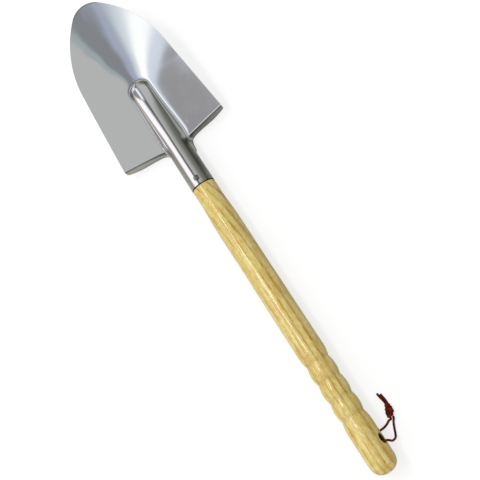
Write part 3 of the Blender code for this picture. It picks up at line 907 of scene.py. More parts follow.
def smooth_route(points: Sequence[Vector], step: float) -> list[Vector]:
    """Points about every step along a smooth curve through the given ones.

    Args:
        points: Points that the curve passes.
        step: Distance between the new points.

    Returns:
        The new points.
    """
    ends = [2 * points[0] - points[1], *points, 2 * points[-1] - points[-2]]
    fine = []
    for a, b, c, d in zip(ends, ends[1:], ends[2:], ends[3:]):
        for i in range(ROUTE_FINENESS):
            t = i / ROUTE_FINENESS
            bend = (2 * a - 5 * b + 4 * c - d) * t * t + (3 * b - a - 3 * c + d) * t**3
            fine.append((2 * b + (c - a) * t + bend) / 2)
    fine.append(points[-1])
    runs = [0.0]
    for a, b in zip(fine, fine[1:]):
        runs.append(runs[-1] + (b - a).length)
    count = max(2, round(runs[-1] / step))
    route = []
    k = 0
    for i in range(count + 1):
        run = runs[-1] * i / count
        while k < len(runs) - 2 and runs[k + 1] < run:
            k += 1
        share = clamp((run - runs[k]) / max(WELD**2, runs[k + 1] - runs[k]))
        route.append(fine[k].lerp(fine[k + 1], share))
    return route


def route_length(points: Sequence[Vector]) -> float:
    """Length of a route."""
    return sum((b - a).length for a, b in zip(points, points[1:]))


# Camera, floor and light


@dataclass(frozen=True)
class PhotoCamera:
    """The photograph's view: from above the handle's side, with the tool slanting down to the right."""

    image: float = 480.0
    sensor: float = 36.0
    distance: float = 1.5
    metres_per_pixel: float = 0.00107
    pitch: float = math.radians(14.5)
    roll: float = math.radians(7.5)
    aim_y: float = -0.0730
    heading: Pair = (0.5446, 0.8387)
    centre_along: float = 331.99
    centre_across: float = 69.5
    clip: Pair = (0.01, 20.0)

    def make(self) -> None:
        """Make the camera and set it as the scene's own."""
        data = bpy.data.cameras.new("photo_camera")
        camera = show("photo_camera", data)
        bpy.context.scene.camera = camera
        level = math.cos(self.pitch)
        back = Vector((math.sin(self.roll) * level, -math.sin(self.pitch), math.cos(self.roll) * level))
        place = AXIS.place()
        turn = place.to_3x3()
        position = place @ (Vector((0, self.aim_y, 0)) + self.distance * back)
        forward = -(turn @ back)
        butt = turn @ Vector((0, -1, 0))
        butt = (butt - butt.dot(forward) * forward).normalized()
        side = forward.cross(butt).normalized()
        if (turn @ Vector((1, 0, 0))).dot(side) < 0:
            side = -side
        along, across = self.heading
        right = along * butt + across * side
        up = along * side - across * butt
        basis = Matrix((right, up, -forward)).transposed()
        camera.matrix_world = Matrix.Translation(position) @ basis.to_4x4()
        data.sensor_width = self.sensor
        data.lens = self.distance / self.metres_per_pixel / self.image * self.sensor
        column = self.centre_along * along + self.centre_across * across
        row = self.centre_along * across - self.centre_across * along
        data.shift_x = (self.image / 2 - column) / self.image
        data.shift_y = (row - self.image / 2) / self.image
        data.clip_start, data.clip_end = self.clip
        LOG.info("camera: %.1f mm lens", data.lens)


@dataclass(frozen=True)
class StudioStep:
    """A change in what the steel mirrors, going left from the tool's right.

    Angles are in degrees from straight up: across is to the right, and forward is towards the tip.
    """

    name: str
    across: float
    soft: float
    colour: Colour
    slant: float = 0.0


@dataclass(frozen=True)
class Studio:
    """Even light over a pale floor and a tall lamp to the left, in a room that only the steel mirrors."""

    fill: float = 0.76
    fill_fall: float = 0.44
    floor_half: float = 4.0
    floor_colour: Colour = (0.35, 0.35, 0.35)
    floor_lift: float = 0.70
    lamp_power: float = 9.5
    lamp_size: Pair = (0.27, 1.26)
    lamp_place: Triple = (-0.566, 0.614, 1.783)
    lamp_aim: Triple = (0.0, -0.12, 0.01)
    overhead: tuple[StudioStep, ...] = (
        StudioStep("ceiling", 180, 1.0, (0.66, 0.67, 0.67)),
        StudioStep("skylight sill", 0.9, 0.5, (0.50, 0.57, 0.60)),
        StudioStep("dark beam", -1.3, 0.6, (0.33, 0.34, 0.37)),
        StudioStep("beam's edge", -7.0, 1.6, (0.53, 0.58, 0.72)),
        StudioStep("skylight haze", -12.5, 2.5, (0.95, 1.02, 1.10)),
        StudioStep("skylight", -16.0, 1.6, (1.50, 1.52, 1.52)),
        StudioStep("skylight shade", -20.3, 0.9, (0.93, 1.01, 1.15)),
        StudioStep("left ceiling", -23.02, 0.22, (0.42, 0.41, 0.425), 0.32),
    )
    far: tuple[StudioStep, ...] = (
        StudioStep("right skirting", 180, 1.0, (0.17, 0.17, 0.145)),
        StudioStep("right wall", 66, 12.0, (0.205, 0.21, 0.19)),
        StudioStep("right cornice", 44, 7.0, (0.30, 0.30, 0.28)),
        StudioStep("far ceiling", 28, 7.0, (0.47, 0.48, 0.455)),
        StudioStep("far rail", 12, 5.0, (0.60, 0.61, 0.58)),
        StudioStep("window's shade", -6, 4.0, (0.115, 0.12, 0.135)),
        StudioStep("window frame", -16, 2.5, (0.50, 0.50, 0.53)),
        StudioStep("window's edge", -22, 1.5, (0.95, 0.95, 1.00)),
        StudioStep("tall window", -27, 3.0, (1.50, 1.44, 1.48)),
        StudioStep("left wall", -64, 6.0, (0.62, 0.57, 0.55)),
        StudioStep("left skirting", -82, 6.0, (0.38, 0.34, 0.32)),
    )
    near_wall: Colour = (0.22, 0.23, 0.22)
    near_window: Colour = (0.98, 1.03, 1.05)
    near_window_across: Pair = (-14.0, -20.0)
    near_window_start: Pair = (-11.0, -13.5)
    near_window_end: Pair = (-62.0, -50.0)
    horizon: Colour = (0.12, 0.12, 0.11)
    horizon_height: Pair = (0.15, 0.06)
    slant_start: float = 0.8
    far_start_left: Pair = (2.5, 6.0)
    far_start_right: Pair = (2.0, 19.0)
    right_start: Pair = (-9.0, 1.0)
    near_start: Pair = (-12.0, -20.0)

    def build(self) -> None:
        """Make the floor and the world."""
        self._floor()
        self._world()
        LOG.info("studio: floor and world")

    def _floor(self) -> None:
        """Pale floor, white to the camera and in mirrors where no shadow falls."""
        half = self.floor_half
        mesh = bpy.data.meshes.new("floor")
        corners = [(-half, -half, 0), (half, -half, 0), (half, half, 0), (-half, half, 0)]
        mesh.from_pydata(corners, [], [(0, 1, 2, 3)])
        show("floor", mesh)
        material = bpy.data.materials.new("floor")
        sheet = self._empty_sheet(material)
        ray = sheet.add("ShaderNodeLightPath", output="Is Camera Ray")
        seen = ray.at_least(ray.output("Is Glossy Ray")).at_least(ray.output("Is Transmission Ray"))
        matt = sheet.add("ShaderNodeBsdfDiffuse", {}, {"Color": (*self.floor_colour, 1.0)})
        glow = sheet.add("ShaderNodeEmission", {}, {"Strength": seen * self.floor_lift})
        both = sheet.add("ShaderNodeAddShader", {}, {0: matt, 1: glow})
        sheet.add("ShaderNodeOutputMaterial", {}, {"Surface": both})
        mesh.materials.append(material)

    @staticmethod
    def _empty_sheet(owner: bpy.types.Material | bpy.types.World) -> NodeSheet:
        """Node sheet without nodes.

        Args:
            owner: The material or world that the sheet is for.

        Returns:
            The sheet.
        """
        owner.use_nodes = True
        owner.node_tree.nodes.clear()
        return NodeSheet(owner.node_tree)

    def _world(self) -> None:
        """Even fill light, white to the camera, with the studio's bands in mirrors."""
        world = bpy.data.worlds.new("studio")
        bpy.context.scene.world = world
        sheet = self._empty_sheet(world)
        x, y, z = sheet.split(sheet.add("ShaderNodeTexCoord", output="Generated"))
        across, forward = (side.math("ARCTAN2", z) * math.degrees(1) for side in (x, y))
        overhead = self._steps(sheet, across, forward, self.overhead)
        far = self._steps(sheet, across, forward, self.far)
        right = across.rise(*self.right_start)
        on_right, on_left = (forward.rise(*start) for start in (self.far_start_right, self.far_start_left))
        window = across.rise(*self.near_window_across) * forward.rise(*self.near_window_start)
        mirrored = sheet.layered(
            overhead,
            (on_right * right + on_left * (1 - right), far),
            (forward.rise(*self.near_start), self.near_wall),
            (window * forward.rise(*self.near_window_end), self.near_window),
            (z.rise(*self.horizon_height), self.horizon),
        )
        ray = sheet.add("ShaderNodeLightPath", output="Is Camera Ray")
        left = x * (-self.fill * self.fill_fall) + self.fill
        fill = sheet.add("ShaderNodeCombineColor", {}, {"Red": left, "Green": left, "Blue": left})
        colour = sheet.layered(fill, (ray.output("Is Glossy Ray"), mirrored), (ray, (1.0, 1.0, 1.0)))
        light = sheet.add("ShaderNodeBackground", {}, {"Color": colour})
        sheet.add("ShaderNodeOutputWorld", {}, {"Surface": light})

    def _steps(
        self, sheet: NodeSheet, across: Signal, forward: Signal, steps: Sequence[StudioStep]
    ) -> Signal:
        """Colour that changes at each step from the right to the left.

        Args:
            sheet: The world's sheet.
            across: Angle to the right.
            forward: Angle towards the tip.
            steps: The steps, from the right.

        Returns:
            The colour.
        """
        colour = steps[0].colour
        ahead = (forward - self.slant_start).at_least(0.0)
        for step in steps[1:]:
            angle = across - ahead * step.slant if step.slant else across
            passed = angle.rise(step.across + step.soft, step.across - step.soft)
            colour = sheet.mix(passed, colour, step.colour)
            colour.socket.node.label = step.name
        return colour

    def key_lamp(self, *polished: bpy.types.Object) -> None:
        """Tall lamp to the left of the handle. The polished head mirrors the window in its place.

        Args:
            polished: The mirror-polished pieces.
        """
        data = bpy.data.lights.new("key_lamp", "AREA")
        data.shape, data.energy = "RECTANGLE", self.lamp_power
        data.size, data.size_y = self.lamp_size
        lamp = show("key_lamp", data)
        place = Vector(self.lamp_place)
        back = (place - Vector(self.lamp_aim)).normalized()
        along = Vector((0, 1, 0))
        along = (along - along.dot(back) * back).normalized()
        turn = Matrix((along.cross(back), along, back)).transposed()
        lamp.matrix_world = Matrix.Translation(place) @ turn.to_4x4()
        mirrors = bpy.data.collections.new("mirrors")
        for piece in polished:
            mirrors.objects.link(piece)
        for member in mirrors.collection_objects:
            member.light_linking.link_state = "EXCLUDE"
        lamp.light_linking.receiver_collection = mirrors
        LOG.info("key lamp: not on %d polished pieces", len(polished))


# Steel head


@dataclass(frozen=True)
class TrowelHead:
    """The pressed head: blade, frog, treads and rolled socket in one sheet of steel."""

    sheet: float = 0.0015
    shoulder_y: float = 0.0595
    blade_half_width: float = 0.0652
    side_taper: float = 0.103
    side_end_y: float = 0.157
    ogive_radius: float = 0.115
    lift_slope: float = 0.25
    floor_at_shoulder: float = -0.0068
    flank_slope: float = 0.17
    valley_radius: float = 0.008
    valley_spread: float = 0.60
    valley_blend: float = 0.012
    nose_height: float = 0.0082
    foot_run: float = 0.0036
    rim_radius: float = 0.01372
    neck_radius: float = 0.01330
    neck_fillet: float = 0.0065
    seam_gap: float = 0.0010
    seam_end_y: float = 0.0240
    socket_open_y: float = 0.0440
    neck_side_depth: float = 0.0125
    neck_edge_rounding: float = 0.0036
    neck_fan: float = 1.5
    tread_run: float = 0.0018
    tread_straightness: float = 0.75
    tread_flat_end_x: float = 0.0400
    tread_corner_lift: float = 0.0088
    tread_corner_radius: float = 0.0030
    tread_foot: float = -0.0147
    end_row_fade: float = 0.060
    edge_round: float = 0.00045
    rounded_from: float = 50.0
    sharp_from: float = 40.0
    table_size: Triple = (0.3, 0.9, 0.04)
    relax_reach: float = 0.002
    relax_fade: float = 0.006
    relax_rounds: int = 40
    arch_steps: int = 20
    foot_steps: int = 12
    flank_steps: int = 34
    straight_spokes: int = 48
    nose_spokes: int = 60
    spoke_crowding: float = 1.3
    socket_rows: int = 30
    flap_steps: int = 18

    def side_half_width(self, y: float) -> float:
        """Half width of the blade on its straight side."""
        return self.blade_half_width - self.side_taper * (y - self.shoulder_y)

    def tip_outline(self) -> list[Pair]:
        """Points of the right edge from beside the frog's nose to the tip.

        Returns:
            Their x and y.
        """
        side = Vector((self.side_half_width(self.side_end_y), self.side_end_y))
        inward = Vector((-1.0, -self.side_taper)).normalized()
        arc_centre = side + self.ogive_radius * inward
        tip_y = arc_centre.y + math.sqrt((self.ogive_radius - MARKS.tip_radius) ** 2 - arc_centre.x**2)
        first = math.atan2(-inward.y, -inward.x)
        turn = math.atan2(tip_y - arc_centre.y, -arc_centre.x)
        straight = math.hypot(self.side_end_y - MARKS.nose_y, self.side_half_width(MARKS.nose_y) - side.x)
        arc = self.ogive_radius * (turn - first)
        nose = MARKS.tip_radius * (QUARTER - turn)
        points = []
        for i in range(self.nose_spokes + 1):
            run = (straight + arc + nose) * (1 - (1 - i / self.nose_spokes) ** self.spoke_crowding)
            if run <= straight:
                y = lerp(MARKS.nose_y, self.side_end_y, run / straight)
                points.append((self.side_half_width(y), y))
            elif run <= straight + arc:
                angle = first + (run - straight) / self.ogive_radius
                corner = arc_centre + self.ogive_radius * Vector((math.cos(angle), math.sin(angle)))
                points.append((corner.x, corner.y))
            else:
                angle = turn + (run - straight - arc) / MARKS.tip_radius
                beside, beyond = MARKS.tip_radius * math.cos(angle), MARKS.tip_radius * math.sin(angle)
                points.append((beside, tip_y + beyond))
        return points

    def valley_height(self, y: float) -> float:
        """Height of the blade's middle line."""
        return self.floor_at_shoulder + self.lift_slope * (y - self.shoulder_y)

    def flank_rise(self, x: float, y: float) -> float:
        """Rise of the flank over the blade's middle line.

        Args:
            x: Distance from the middle line.
            y: Place along the tool.

        Returns:
            The rise.
        """
        ahead = y - MARKS.nose_y
        radius = self.valley_radius + self.valley_spread * (ahead + math.hypot(ahead, self.valley_blend)) / 2
        return self.flank_slope * (math.hypot(x, radius) - radius)

    def frog_share(self, y: float) -> float:
        """0 at the frog's nose and 1 where the frog becomes the socket."""
        return clamp((MARKS.nose_y - y) / (MARKS.nose_y - MARKS.neck_y))

    def frog_height(self, y: float) -> float:
        """Height of the frog's crown over the blade's middle line.

        Args:
            y: Place along the tool.

        Returns:
            The height.
        """
        rise = self.neck_radius - self.valley_height(MARKS.neck_y) - self.nose_height
        steepness = self.lift_slope * (MARKS.nose_y - MARKS.neck_y) / rise
        t = self.frog_share(y)
        return self.nose_height + rise * ((3 - steepness) * t * t + (steepness - 2) * t**3)

    def frog_half_width(self, y: float) -> float:
        """Half width of the frog between its upright walls."""
        return lerp(MARKS.nose_half_width, self.neck_radius, smooth_step(self.frog_share(y)))

    def section(self, v: float, half_width: float, height: float, edge: float) -> Pair:
        """Half section of the front face across the frog and the blade.

        Args:
            v: 0 to 1 on the crown, 1 to 2 on the foot, 2 to 3 on the blade.
            half_width: Half width between the frog's walls.
            height: Height of its crown.
            edge: Distance of the blade's edge.

        Returns:
            Distance from the crown line, and height over the blade's middle line.
        """
        if v > 2:
            return lerp(half_width + self.foot_run, edge, v - 2), 0.0
        wall = (1 - self.neck_radius / (self.neck_radius - self.valley_height(MARKS.neck_y))) * height
        if v > 1:
            return half_width + self.foot_run * (v - 1) * (v - 1), wall * (2 - v) ** 2
        return half_width * math.sin(v * QUARTER), wall + (height - wall) * math.cos(v * QUARTER)

    def face_point(self, x: float, y: float, over: float, v: float) -> Vector:
        """Point of the front face at this height over the blade's middle line and this v."""
        return Vector((x, y, self.valley_height(y) + over + self.flank_rise(x, y) * smooth_step(v - 1)))

    def straight_point(self, y: float, v: float) -> Vector:
        """Point of the front face beside the frog, at y and v."""
        x, over = self.section(v, self.frog_half_width(y), self.frog_height(y), self.side_half_width(y))
        return self.face_point(x, y, over, v)

    def nose_point(self, angle: float, edge: float, v: float) -> Vector:
        """Point of the front face round the frog's nose.

        Args:
            angle: Angle of the point's line from the middle line.
            edge: Distance of the blade's edge along that line.
            v: Place on that line, as in section.

        Returns:
            The point.
        """
        across, along = math.sin(angle), math.cos(angle)
        half_width = 1 / math.hypot(across / MARKS.nose_half_width, along / MARKS.nose_length)
        reach, over = self.section(v, half_width, self.nose_height, edge)
        return self.face_point(reach * across, MARKS.nose_y + reach * along, over, v)

    def fillet_end(self) -> float:
        """How far beyond the socket's side the neck's fillet ends."""
        return self.neck_fillet * (1 - math.sin(MARKS.shoulder_slope))

    def shoulder_rise(self, beyond: float) -> float:
        """How far ahead of the neck the shoulder line lies, this far beyond the socket's side."""
        slope = MARKS.shoulder_slope
        return self.neck_fillet * math.cos(slope) + (beyond - self.fillet_end()) * math.tan(slope)

    def end_rise(self, beyond: float) -> float:
        """How far ahead of the neck the front face ends.

        Args:
            beyond: Distance beyond the socket's side.

        Returns:
            The distance along the tool.
        """
        if beyond < self.fillet_end():
            return math.sqrt(self.neck_fillet**2 - (self.neck_fillet - beyond) ** 2)
        return self.shoulder_rise(beyond)

    def section_steps(self) -> list[float]:
        """The values of v across the half section.

        Returns:
            The values, from the crown to the edge.
        """
        crown = [i / self.arch_steps for i in range(self.arch_steps)]
        foot = [1 + i / self.foot_steps for i in range(self.foot_steps)]
        count = self.flank_steps
        flank = [2 + (1 - math.cos(math.pi * i / count)) / 2 for i in range(count + 1)]
        return crown + foot + flank

    def end_shift(self, v: float) -> float:
        """How far the last row of the front face lies ahead of the neck at v."""
        x = self.straight_point(self.shoulder_y, v).x
        return self.end_rise(max(0.0, x - self.neck_radius)) if v > 1 else 0.0

    def blade_rows(self) -> list[list[Vector]]:
        """Rows of the right half of the front face.

        Returns:
            The rows, from the neck and shoulder round to the tip.
        """
        steps = self.section_steps()
        shifts = [self.end_shift(v) for v in steps]
        rows = []
        for i in range(self.straight_spokes + 1):
            station = lerp(MARKS.neck_y, MARKS.nose_y, i / self.straight_spokes)
            fade = (1 - clamp((station - MARKS.neck_y) / self.end_row_fade)) ** 2
            rows.append([self.straight_point(station + fade * s, v) for v, s in zip(steps, shifts)])
        for x, y in self.tip_outline()[1:]:
            angle = math.atan2(x, y - MARKS.nose_y)
            edge = math.hypot(x, y - MARKS.nose_y)
            row = [self.nose_point(angle, edge, v) for v in steps]
            if x < WELD:
                row = [Vector((0.0, p.y, p.z)) for p in row]
            rows.append(row)
        return rows

    def socket_rows_of_points(self) -> list[list[Vector]]:
        """Rows of the upper right quarter of the socket.

        Returns:
            The rows, from the neck to the mouth.
        """
        rows = []
        angles = [j / self.arch_steps * QUARTER for j in range(self.arch_steps + 1)]
        for i in range(self.socket_rows + 1):
            y = lerp(MARKS.neck_y, 0.0, i / self.socket_rows)
            radius = lerp(self.rim_radius, self.neck_radius, y / MARKS.neck_y)
            rows.append([Vector((radius * math.sin(a), y, radius * math.cos(a))) for a in angles])
        return rows

    def tread_foot_height(self, x: float) -> float:
        """Height of a tread's free edge.

        Args:
            x: Distance from the middle line.

        Returns:
            The height.
        """
        edge = self.side_half_width(self.shoulder_y)
        out = clamp((x - self.tread_flat_end_x) / (edge - self.tread_flat_end_x))
        corner = clamp((x - edge + self.tread_corner_radius) / self.tread_corner_radius)
        rounding = self.tread_corner_radius * (1 - math.sqrt(1 - corner * corner))
        return self.tread_foot + self.tread_corner_lift * out * out + rounding

    def edge_run(self, start: Vector, outward_way: Vector) -> float:
        """How far outward of a point the flap's free edge lies.

        Args:
            start: The flap's start.
            outward_way: Level direction in which the flap leaves.

        Returns:
            The distance.
        """
        beside = start.x - self.neck_radius
        behind = MARKS.neck_y + self.shoulder_rise(beside) - self.tread_run - start.y
        near, far = 0.0, self.neck_radius
        while far - near > WELD / 10:
            run = (near + far) / 2
            corner = (beside + run * outward_way.x) * (behind - run * outward_way.y)
            near, far = (run, far) if corner < self.neck_edge_rounding**2 else (near, run)
        return far

    def flap_line(self, start: Vector, outward_way: Vector, first: float, depth: float) -> list[Vector]:
        """Points down a flap.

        Args:
            start: The flap's start.
            outward_way: Level direction in which the flap leaves.
            first: Angle below level at which the sheet leaves.
            depth: How far down the free edge lies.

        Returns:
            Points from the start to the free edge.
        """
        run = self.edge_run(start, outward_way)
        level = min(run / max(math.cos(first), WELD), depth / 2)
        down = Vector((0, 0, -1))
        corner = start + level * (math.cos(first) * outward_way + math.sin(first) * down)
        edge = start + run * outward_way + depth * down
        upper = edge - (depth - level * math.sin(first)) * self.tread_straightness * down
        points = []
        for i in range(self.flap_steps + 1):
            t = i / self.flap_steps
            s = 1 - t
            points.append(s**3 * start + 3 * s * s * t * corner + 3 * s * t * t * upper + t**3 * edge)
        return points

    def shoulder_flaps(self, first_row: Sequence[Vector]) -> list[list[Vector]]:
        """Flap lines along the tread and round the neck's fillet.

        Args:
            first_row: The front face's row along the shoulder.

        Returns:
            The lines, from the outer corner inward.
        """
        lines = []
        steps = self.section_steps()
        for j in range(len(steps) - 1, self.arch_steps - 1, -1):
            v, point = steps[j], first_row[j]
            beyond = clamp((point.x - self.neck_radius) / self.neck_fillet)
            along_fillet = math.acos(1 - beyond) / (QUARTER)
            turn = lerp(QUARTER, -MARKS.shoulder_slope, 1 - (1 - along_fillet) ** self.neck_fan)
            way = Vector((math.sin(turn), -math.cos(turn), 0))
            right, left = (self.straight_point(point.y, w) for w in (min(3.0, v + WELD), v - WELD))
            ahead, behind = (self.straight_point(y, v) for y in (point.y + WELD, point.y - WELD))
            normal = (right - left).cross(ahead - behind)
            first = min(QUARTER, math.atan2(normal.dot(way), normal.z))
            foot = lerp(self.tread_foot_height(point.x), -self.neck_side_depth, 1 - smooth_step(beyond))
            lines.append(self.flap_line(point, way, first, point.z - foot))
        return lines

    def socket_flaps(self, rows: Sequence[Sequence[Vector]]) -> list[list[Vector]]:
        """Flap lines along the socket: the lower half of the tube, which opens out towards the neck.

        Args:
            rows: The rows of the socket's upper quarter.

        Returns:
            The lines, from the neck to the mouth.
        """
        lines = []
        for row in rows[1:]:
            side = row[-1]
            radius = side.x
            opening = smooth_step((side.y - self.seam_end_y) / (self.socket_open_y - self.seam_end_y))
            closed = QUARTER - math.asin(self.seam_gap / 2 / radius)
            line = self.flap_line(side, Vector((1, 0, 0)), QUARTER, self.neck_side_depth)
            for i, point in enumerate(line):
                angle = closed * i / self.flap_steps
                tube = Vector((radius * math.cos(angle), side.y, -radius * math.sin(angle)))
                line[i] = tube.lerp(point, opening)
            lines.append(line)
        return lines

    def half_face(self) -> bpy.types.Mesh:
        """Mesh of the right half of the front face, with its flaps.

        Returns:
            The mesh on the axis, open along the middle.
        """
        blade = self.blade_rows()
        socket = self.socket_rows_of_points()
        flaps = self.shoulder_flaps(blade[0]) + self.socket_flaps(socket)
        points, faces, numbers = [], [], {}
        for grid in ([list(reversed(row)) for row in blade], socket, flaps):
            for row, following in zip(grid, grid[1:]):
                for j in range(len(row) - 1):
                    corners = []
                    for point in (row[j], following[j], following[j + 1], row[j + 1]):
                        key = tuple(round(c / WELD * 2) for c in point)
                        if key not in numbers:
                            numbers[key] = len(points)
                            points.append(point)
                        corners.append(numbers[key])
                    corners = list(dict.fromkeys(corners))
                    if len(corners) > 2:
                        faces.append(corners)
        mesh = bpy.data.meshes.new("half_head")
        mesh.from_pydata(self.relaxed(points, faces), [], faces)
        return mesh

    def relax_share(self, point: Vector) -> float:
        """How freely a point of the pressing flows to a softer form.

        Args:
            point: The point on the axis.

        Returns:
            1 on and round the frog, and 0 away from it.
        """
        ahead = max(0.0, point.y - MARKS.nose_y)
        reach = math.hypot(point.x, ahead) - self.frog_half_width(point.y) - self.foot_run
        near = 1 - smooth_step((reach - self.relax_reach) / self.relax_fade)
        return near * smooth_step((point.y - MARKS.neck_y - self.neck_fillet) / self.relax_fade)

    def relaxed(self, points: Sequence[Vector], faces: Sequence[Sequence[int]]) -> list[Vector]:
        """Points after the sheet has flowed to a softer form.

        Args:
            points: The half face's points.
            faces: Its faces.

        Returns:
            The moved points.
        """
        where = np.array(points)
        share = np.array([self.relax_share(p) for p in points])[:, None] / 2
        edges = {tuple(sorted(pair)) for face in faces for pair in zip(face, (*face[1:], face[0]))}
        first, second = np.array(sorted(edges)).T
        counts = np.bincount(np.concatenate((first, second)), minlength=len(points))[:, None]
        on_middle = where[:, 0] < WELD / 10
        for _ in range(self.relax_rounds):
            total = np.zeros_like(where)
            np.add.at(total, first, where[second])
            np.add.at(total, second, where[first])
            where += share * (total / counts - where)
            where[on_middle, 0] = 0.0
        return [Vector(p) for p in where]

    def build(self, finish: bpy.types.Material, nail_hole: bpy.types.Mesh) -> bpy.types.Object:
        """Build the head.

        Args:
            finish: Its material.
            nail_hole: Cutter of the nail's hole, in the world.

        Returns:
            The piece.
        """
        thickness = {"thickness": self.sheet, "offset": -1}
        steps = [("MIRROR", {"merge_threshold": WELD}), ("SOLIDIFY", thickness)]
        mesh = shaped("steel_sheet", self.half_face(), steps)
        mesh.transform(AXIS.place())
        mesh = cut("blade", mesh, [self._table(), nail_hole])
        rounding = {"width": self.edge_round, "segments": 3, "limit_method": "ANGLE"}
        rounding["angle_limit"] = math.radians(self.rounded_from)
        mesh = shaped("blade", mesh, [("BEVEL", rounding)])
        return settle(mesh, self.sharp_from, finish, "polished_steel", "steel_head", "blade_head")

    def _table(self) -> bpy.types.Mesh:
        """Closed block under the table's top, which cuts the treads' feet level.

        Returns:
            The block in the world.
        """
        work = bmesh.new()
        bmesh.ops.create_cube(work, size=1.0, matrix=Matrix.Diagonal((*self.table_size, 1.0)))
        bmesh.ops.translate(work, verts=work.verts, vec=(0, 0, -self.table_size[2] / 2))
        mesh = bpy.data.meshes.new("table")
        work.to_mesh(mesh)
        work.free()
        return mesh


# Ash handle


@dataclass(frozen=True)
class AshHandle:
    """The turned handle: tenon, shank, finger grooves and swelling butt with its cross hole."""

    tenon_length: float = 0.0400
    tenon_end_radius: float = 0.01168
    tenon_mouth_radius: float = 0.01192
    tenon_chamfer: float = 0.0015
    shoulder_gap: float = 0.0004
    shoulder_round: float = 0.0009
    throat_radius: float = 0.01345
    throat_ease: float = 0.8
    throat_end_y: float = -0.0180
    shank_radius: float = 0.0147
    shank_start_y: float = -0.0520
    shank_end_y: float = -0.1000
    swell_radius: float = 0.0152
    swell_y: float = -0.2144
    groove_first_y: float = -0.2286
    groove_first_ease: float = 2.2
    groove_pitch: float = 0.0223
    groove_count: int = 4
    groove_radius: float = 0.0130
    lobe_radius: float = 0.0148
    butt_rise: float = 0.0180
    butt_radius: float = 0.0151
    butt_crown_y: float = -0.3480
    butt_end_y: float = -0.3637
    butt_roundness: float = 2.35
    hole_radius: float = 0.0050
    hole_mouth_radius: float = 0.0044
    softening: float = 0.00035
    softening_steps: tuple[float, ...] = (-1, -0.5, 0, 0.5, 1)
    unevenness: float = 0.003
    station_step: float = 0.0008
    rounding_steps: int = 4
    butt_steps: int = 24
    mouth_steps: int = 10
    sides: int = 96
    hole_sides: int = 56
    seed: int = 3
    sharp_from: float = 38.0

    def radius_at(self, y: float) -> float:
        """Radius before the grooves' and lobes' creases are softened.

        Args:
            y: Place along the handle.

        Returns:
            The radius.
        """
        last_groove = self.groove_first_y - (self.groove_count - 1) * self.groove_pitch
        if self.groove_first_y >= y > last_groove:
            place = (self.groove_first_y - y) / self.groove_pitch % 1.0
            return lerp(self.lobe_radius, self.groove_radius, (2 * place - 1) ** 2)
        start, radius = self.throat_end_y, self.throat_radius
        spans = (
            (self.shank_start_y, self.shank_radius, lambda t: smooth_step(t) ** self.throat_ease),
            (self.shank_end_y, self.shank_radius, float),
            (self.swell_y, self.swell_radius, float),
            (self.groove_first_y, self.groove_radius, lambda t: t**self.groove_first_ease),
            (last_groove, self.groove_radius, float),
            (last_groove - self.butt_rise, self.butt_radius, lambda t: 1 - (1 - t) ** 3),
        )
        for end, next_radius, ease in spans:
            if y > end:
                return lerp(radius, next_radius, ease(clamp((y - start) / (end - start))))
            start, radius = end, next_radius
        return radius

    def profile(self) -> list[Pair]:
        """Outline of the handle.

        Returns:
            (y, radius) pairs from the tenon's end to the butt.
        """
        gap, rounding = self.shoulder_gap, self.shoulder_round
        inner = lerp(self.tenon_mouth_radius, self.tenon_end_radius, self.tenon_length / MARKS.neck_y)
        pairs = [(self.tenon_length, 0.0), (self.tenon_length, inner - self.tenon_chamfer)]
        pairs += [(self.tenon_length - self.tenon_chamfer, inner), (-gap, self.tenon_mouth_radius)]
        for i in range(self.rounding_steps + 1):
            angle = QUARTER * i / self.rounding_steps
            reach = self.throat_radius - rounding * (1 - math.sin(angle))
            pairs.append((-gap - rounding * (1 - math.cos(angle)), reach))
        start = -gap - 2 * rounding
        count = round((start - self.butt_crown_y) / self.station_step)
        for i in range(count + 1):
            y = lerp(start, self.butt_crown_y, i / count)
            nearby = [self.radius_at(y + k * self.softening) for k in self.softening_steps]
            pairs.append((y, sum(nearby) / len(nearby)))
        for i in range(1, self.butt_steps):
            angle = QUARTER * i / self.butt_steps
            along = math.sin(angle) ** (2 / self.butt_roundness)
            around = math.cos(angle) ** (2 / self.butt_roundness)
            pairs.append((lerp(self.butt_crown_y, self.butt_end_y, along), self.butt_radius * around))
        pairs.append((self.butt_end_y, 0.0))
        return pairs

    def hole_cutter(self, turned: TurnedBody) -> bpy.types.Mesh:
        """Cutter of the cross hole with its rounded mouths.

        Args:
            turned: The tree that turns round bodies.

        Returns:
            The closed cutter in the world.
        """
        deep = self.butt_radius - self.hole_mouth_radius
        half = []
        for i in range(self.mouth_steps + 1):
            angle = QUARTER * i / self.mouth_steps
            flare = self.hole_mouth_radius * (1 - math.cos(angle))
            half.append((deep + self.hole_mouth_radius * math.sin(angle), self.hole_radius + flare))
        half.append((self.butt_radius + self.hole_mouth_radius, half[-1][1]))
        half.append((half[-1][0], 0.0))
        pairs = [*reversed(half), *((-run, radius) for run, radius in half)]
        points = [MARKS.in_hole(run) for run, _ in pairs]
        radii = [radius for _, radius in pairs]
        return turned.make("hole_cutter", points, radii, sides=self.hole_sides, unevenness=0.0)

    def build(
        self, turned: TurnedBody, finish: bpy.types.Material, nail_hole: bpy.types.Mesh
    ) -> bpy.types.Object:
        """Build the handle.

        Args:
            turned: The tree that turns round bodies.
            finish: Its material.
            nail_hole: Cutter of the nail's hole, in the world.

        Returns:
            The piece.
        """
        pairs = self.profile()
        points = [AXIS.point(0, y, 0) for y, _ in pairs]
        values = {"sides": self.sides, "unevenness": self.unevenness, "seed": self.seed, "finish": finish}
        mesh = turned.make("ash", points, [radius for _, radius in pairs], **values)
        mesh = cut("ash", mesh, [self.hole_cutter(turned), nail_hole])
        return settle(mesh, self.sharp_from, finish, "lacquered_ash", "ash_handle", "handle")


# Nail


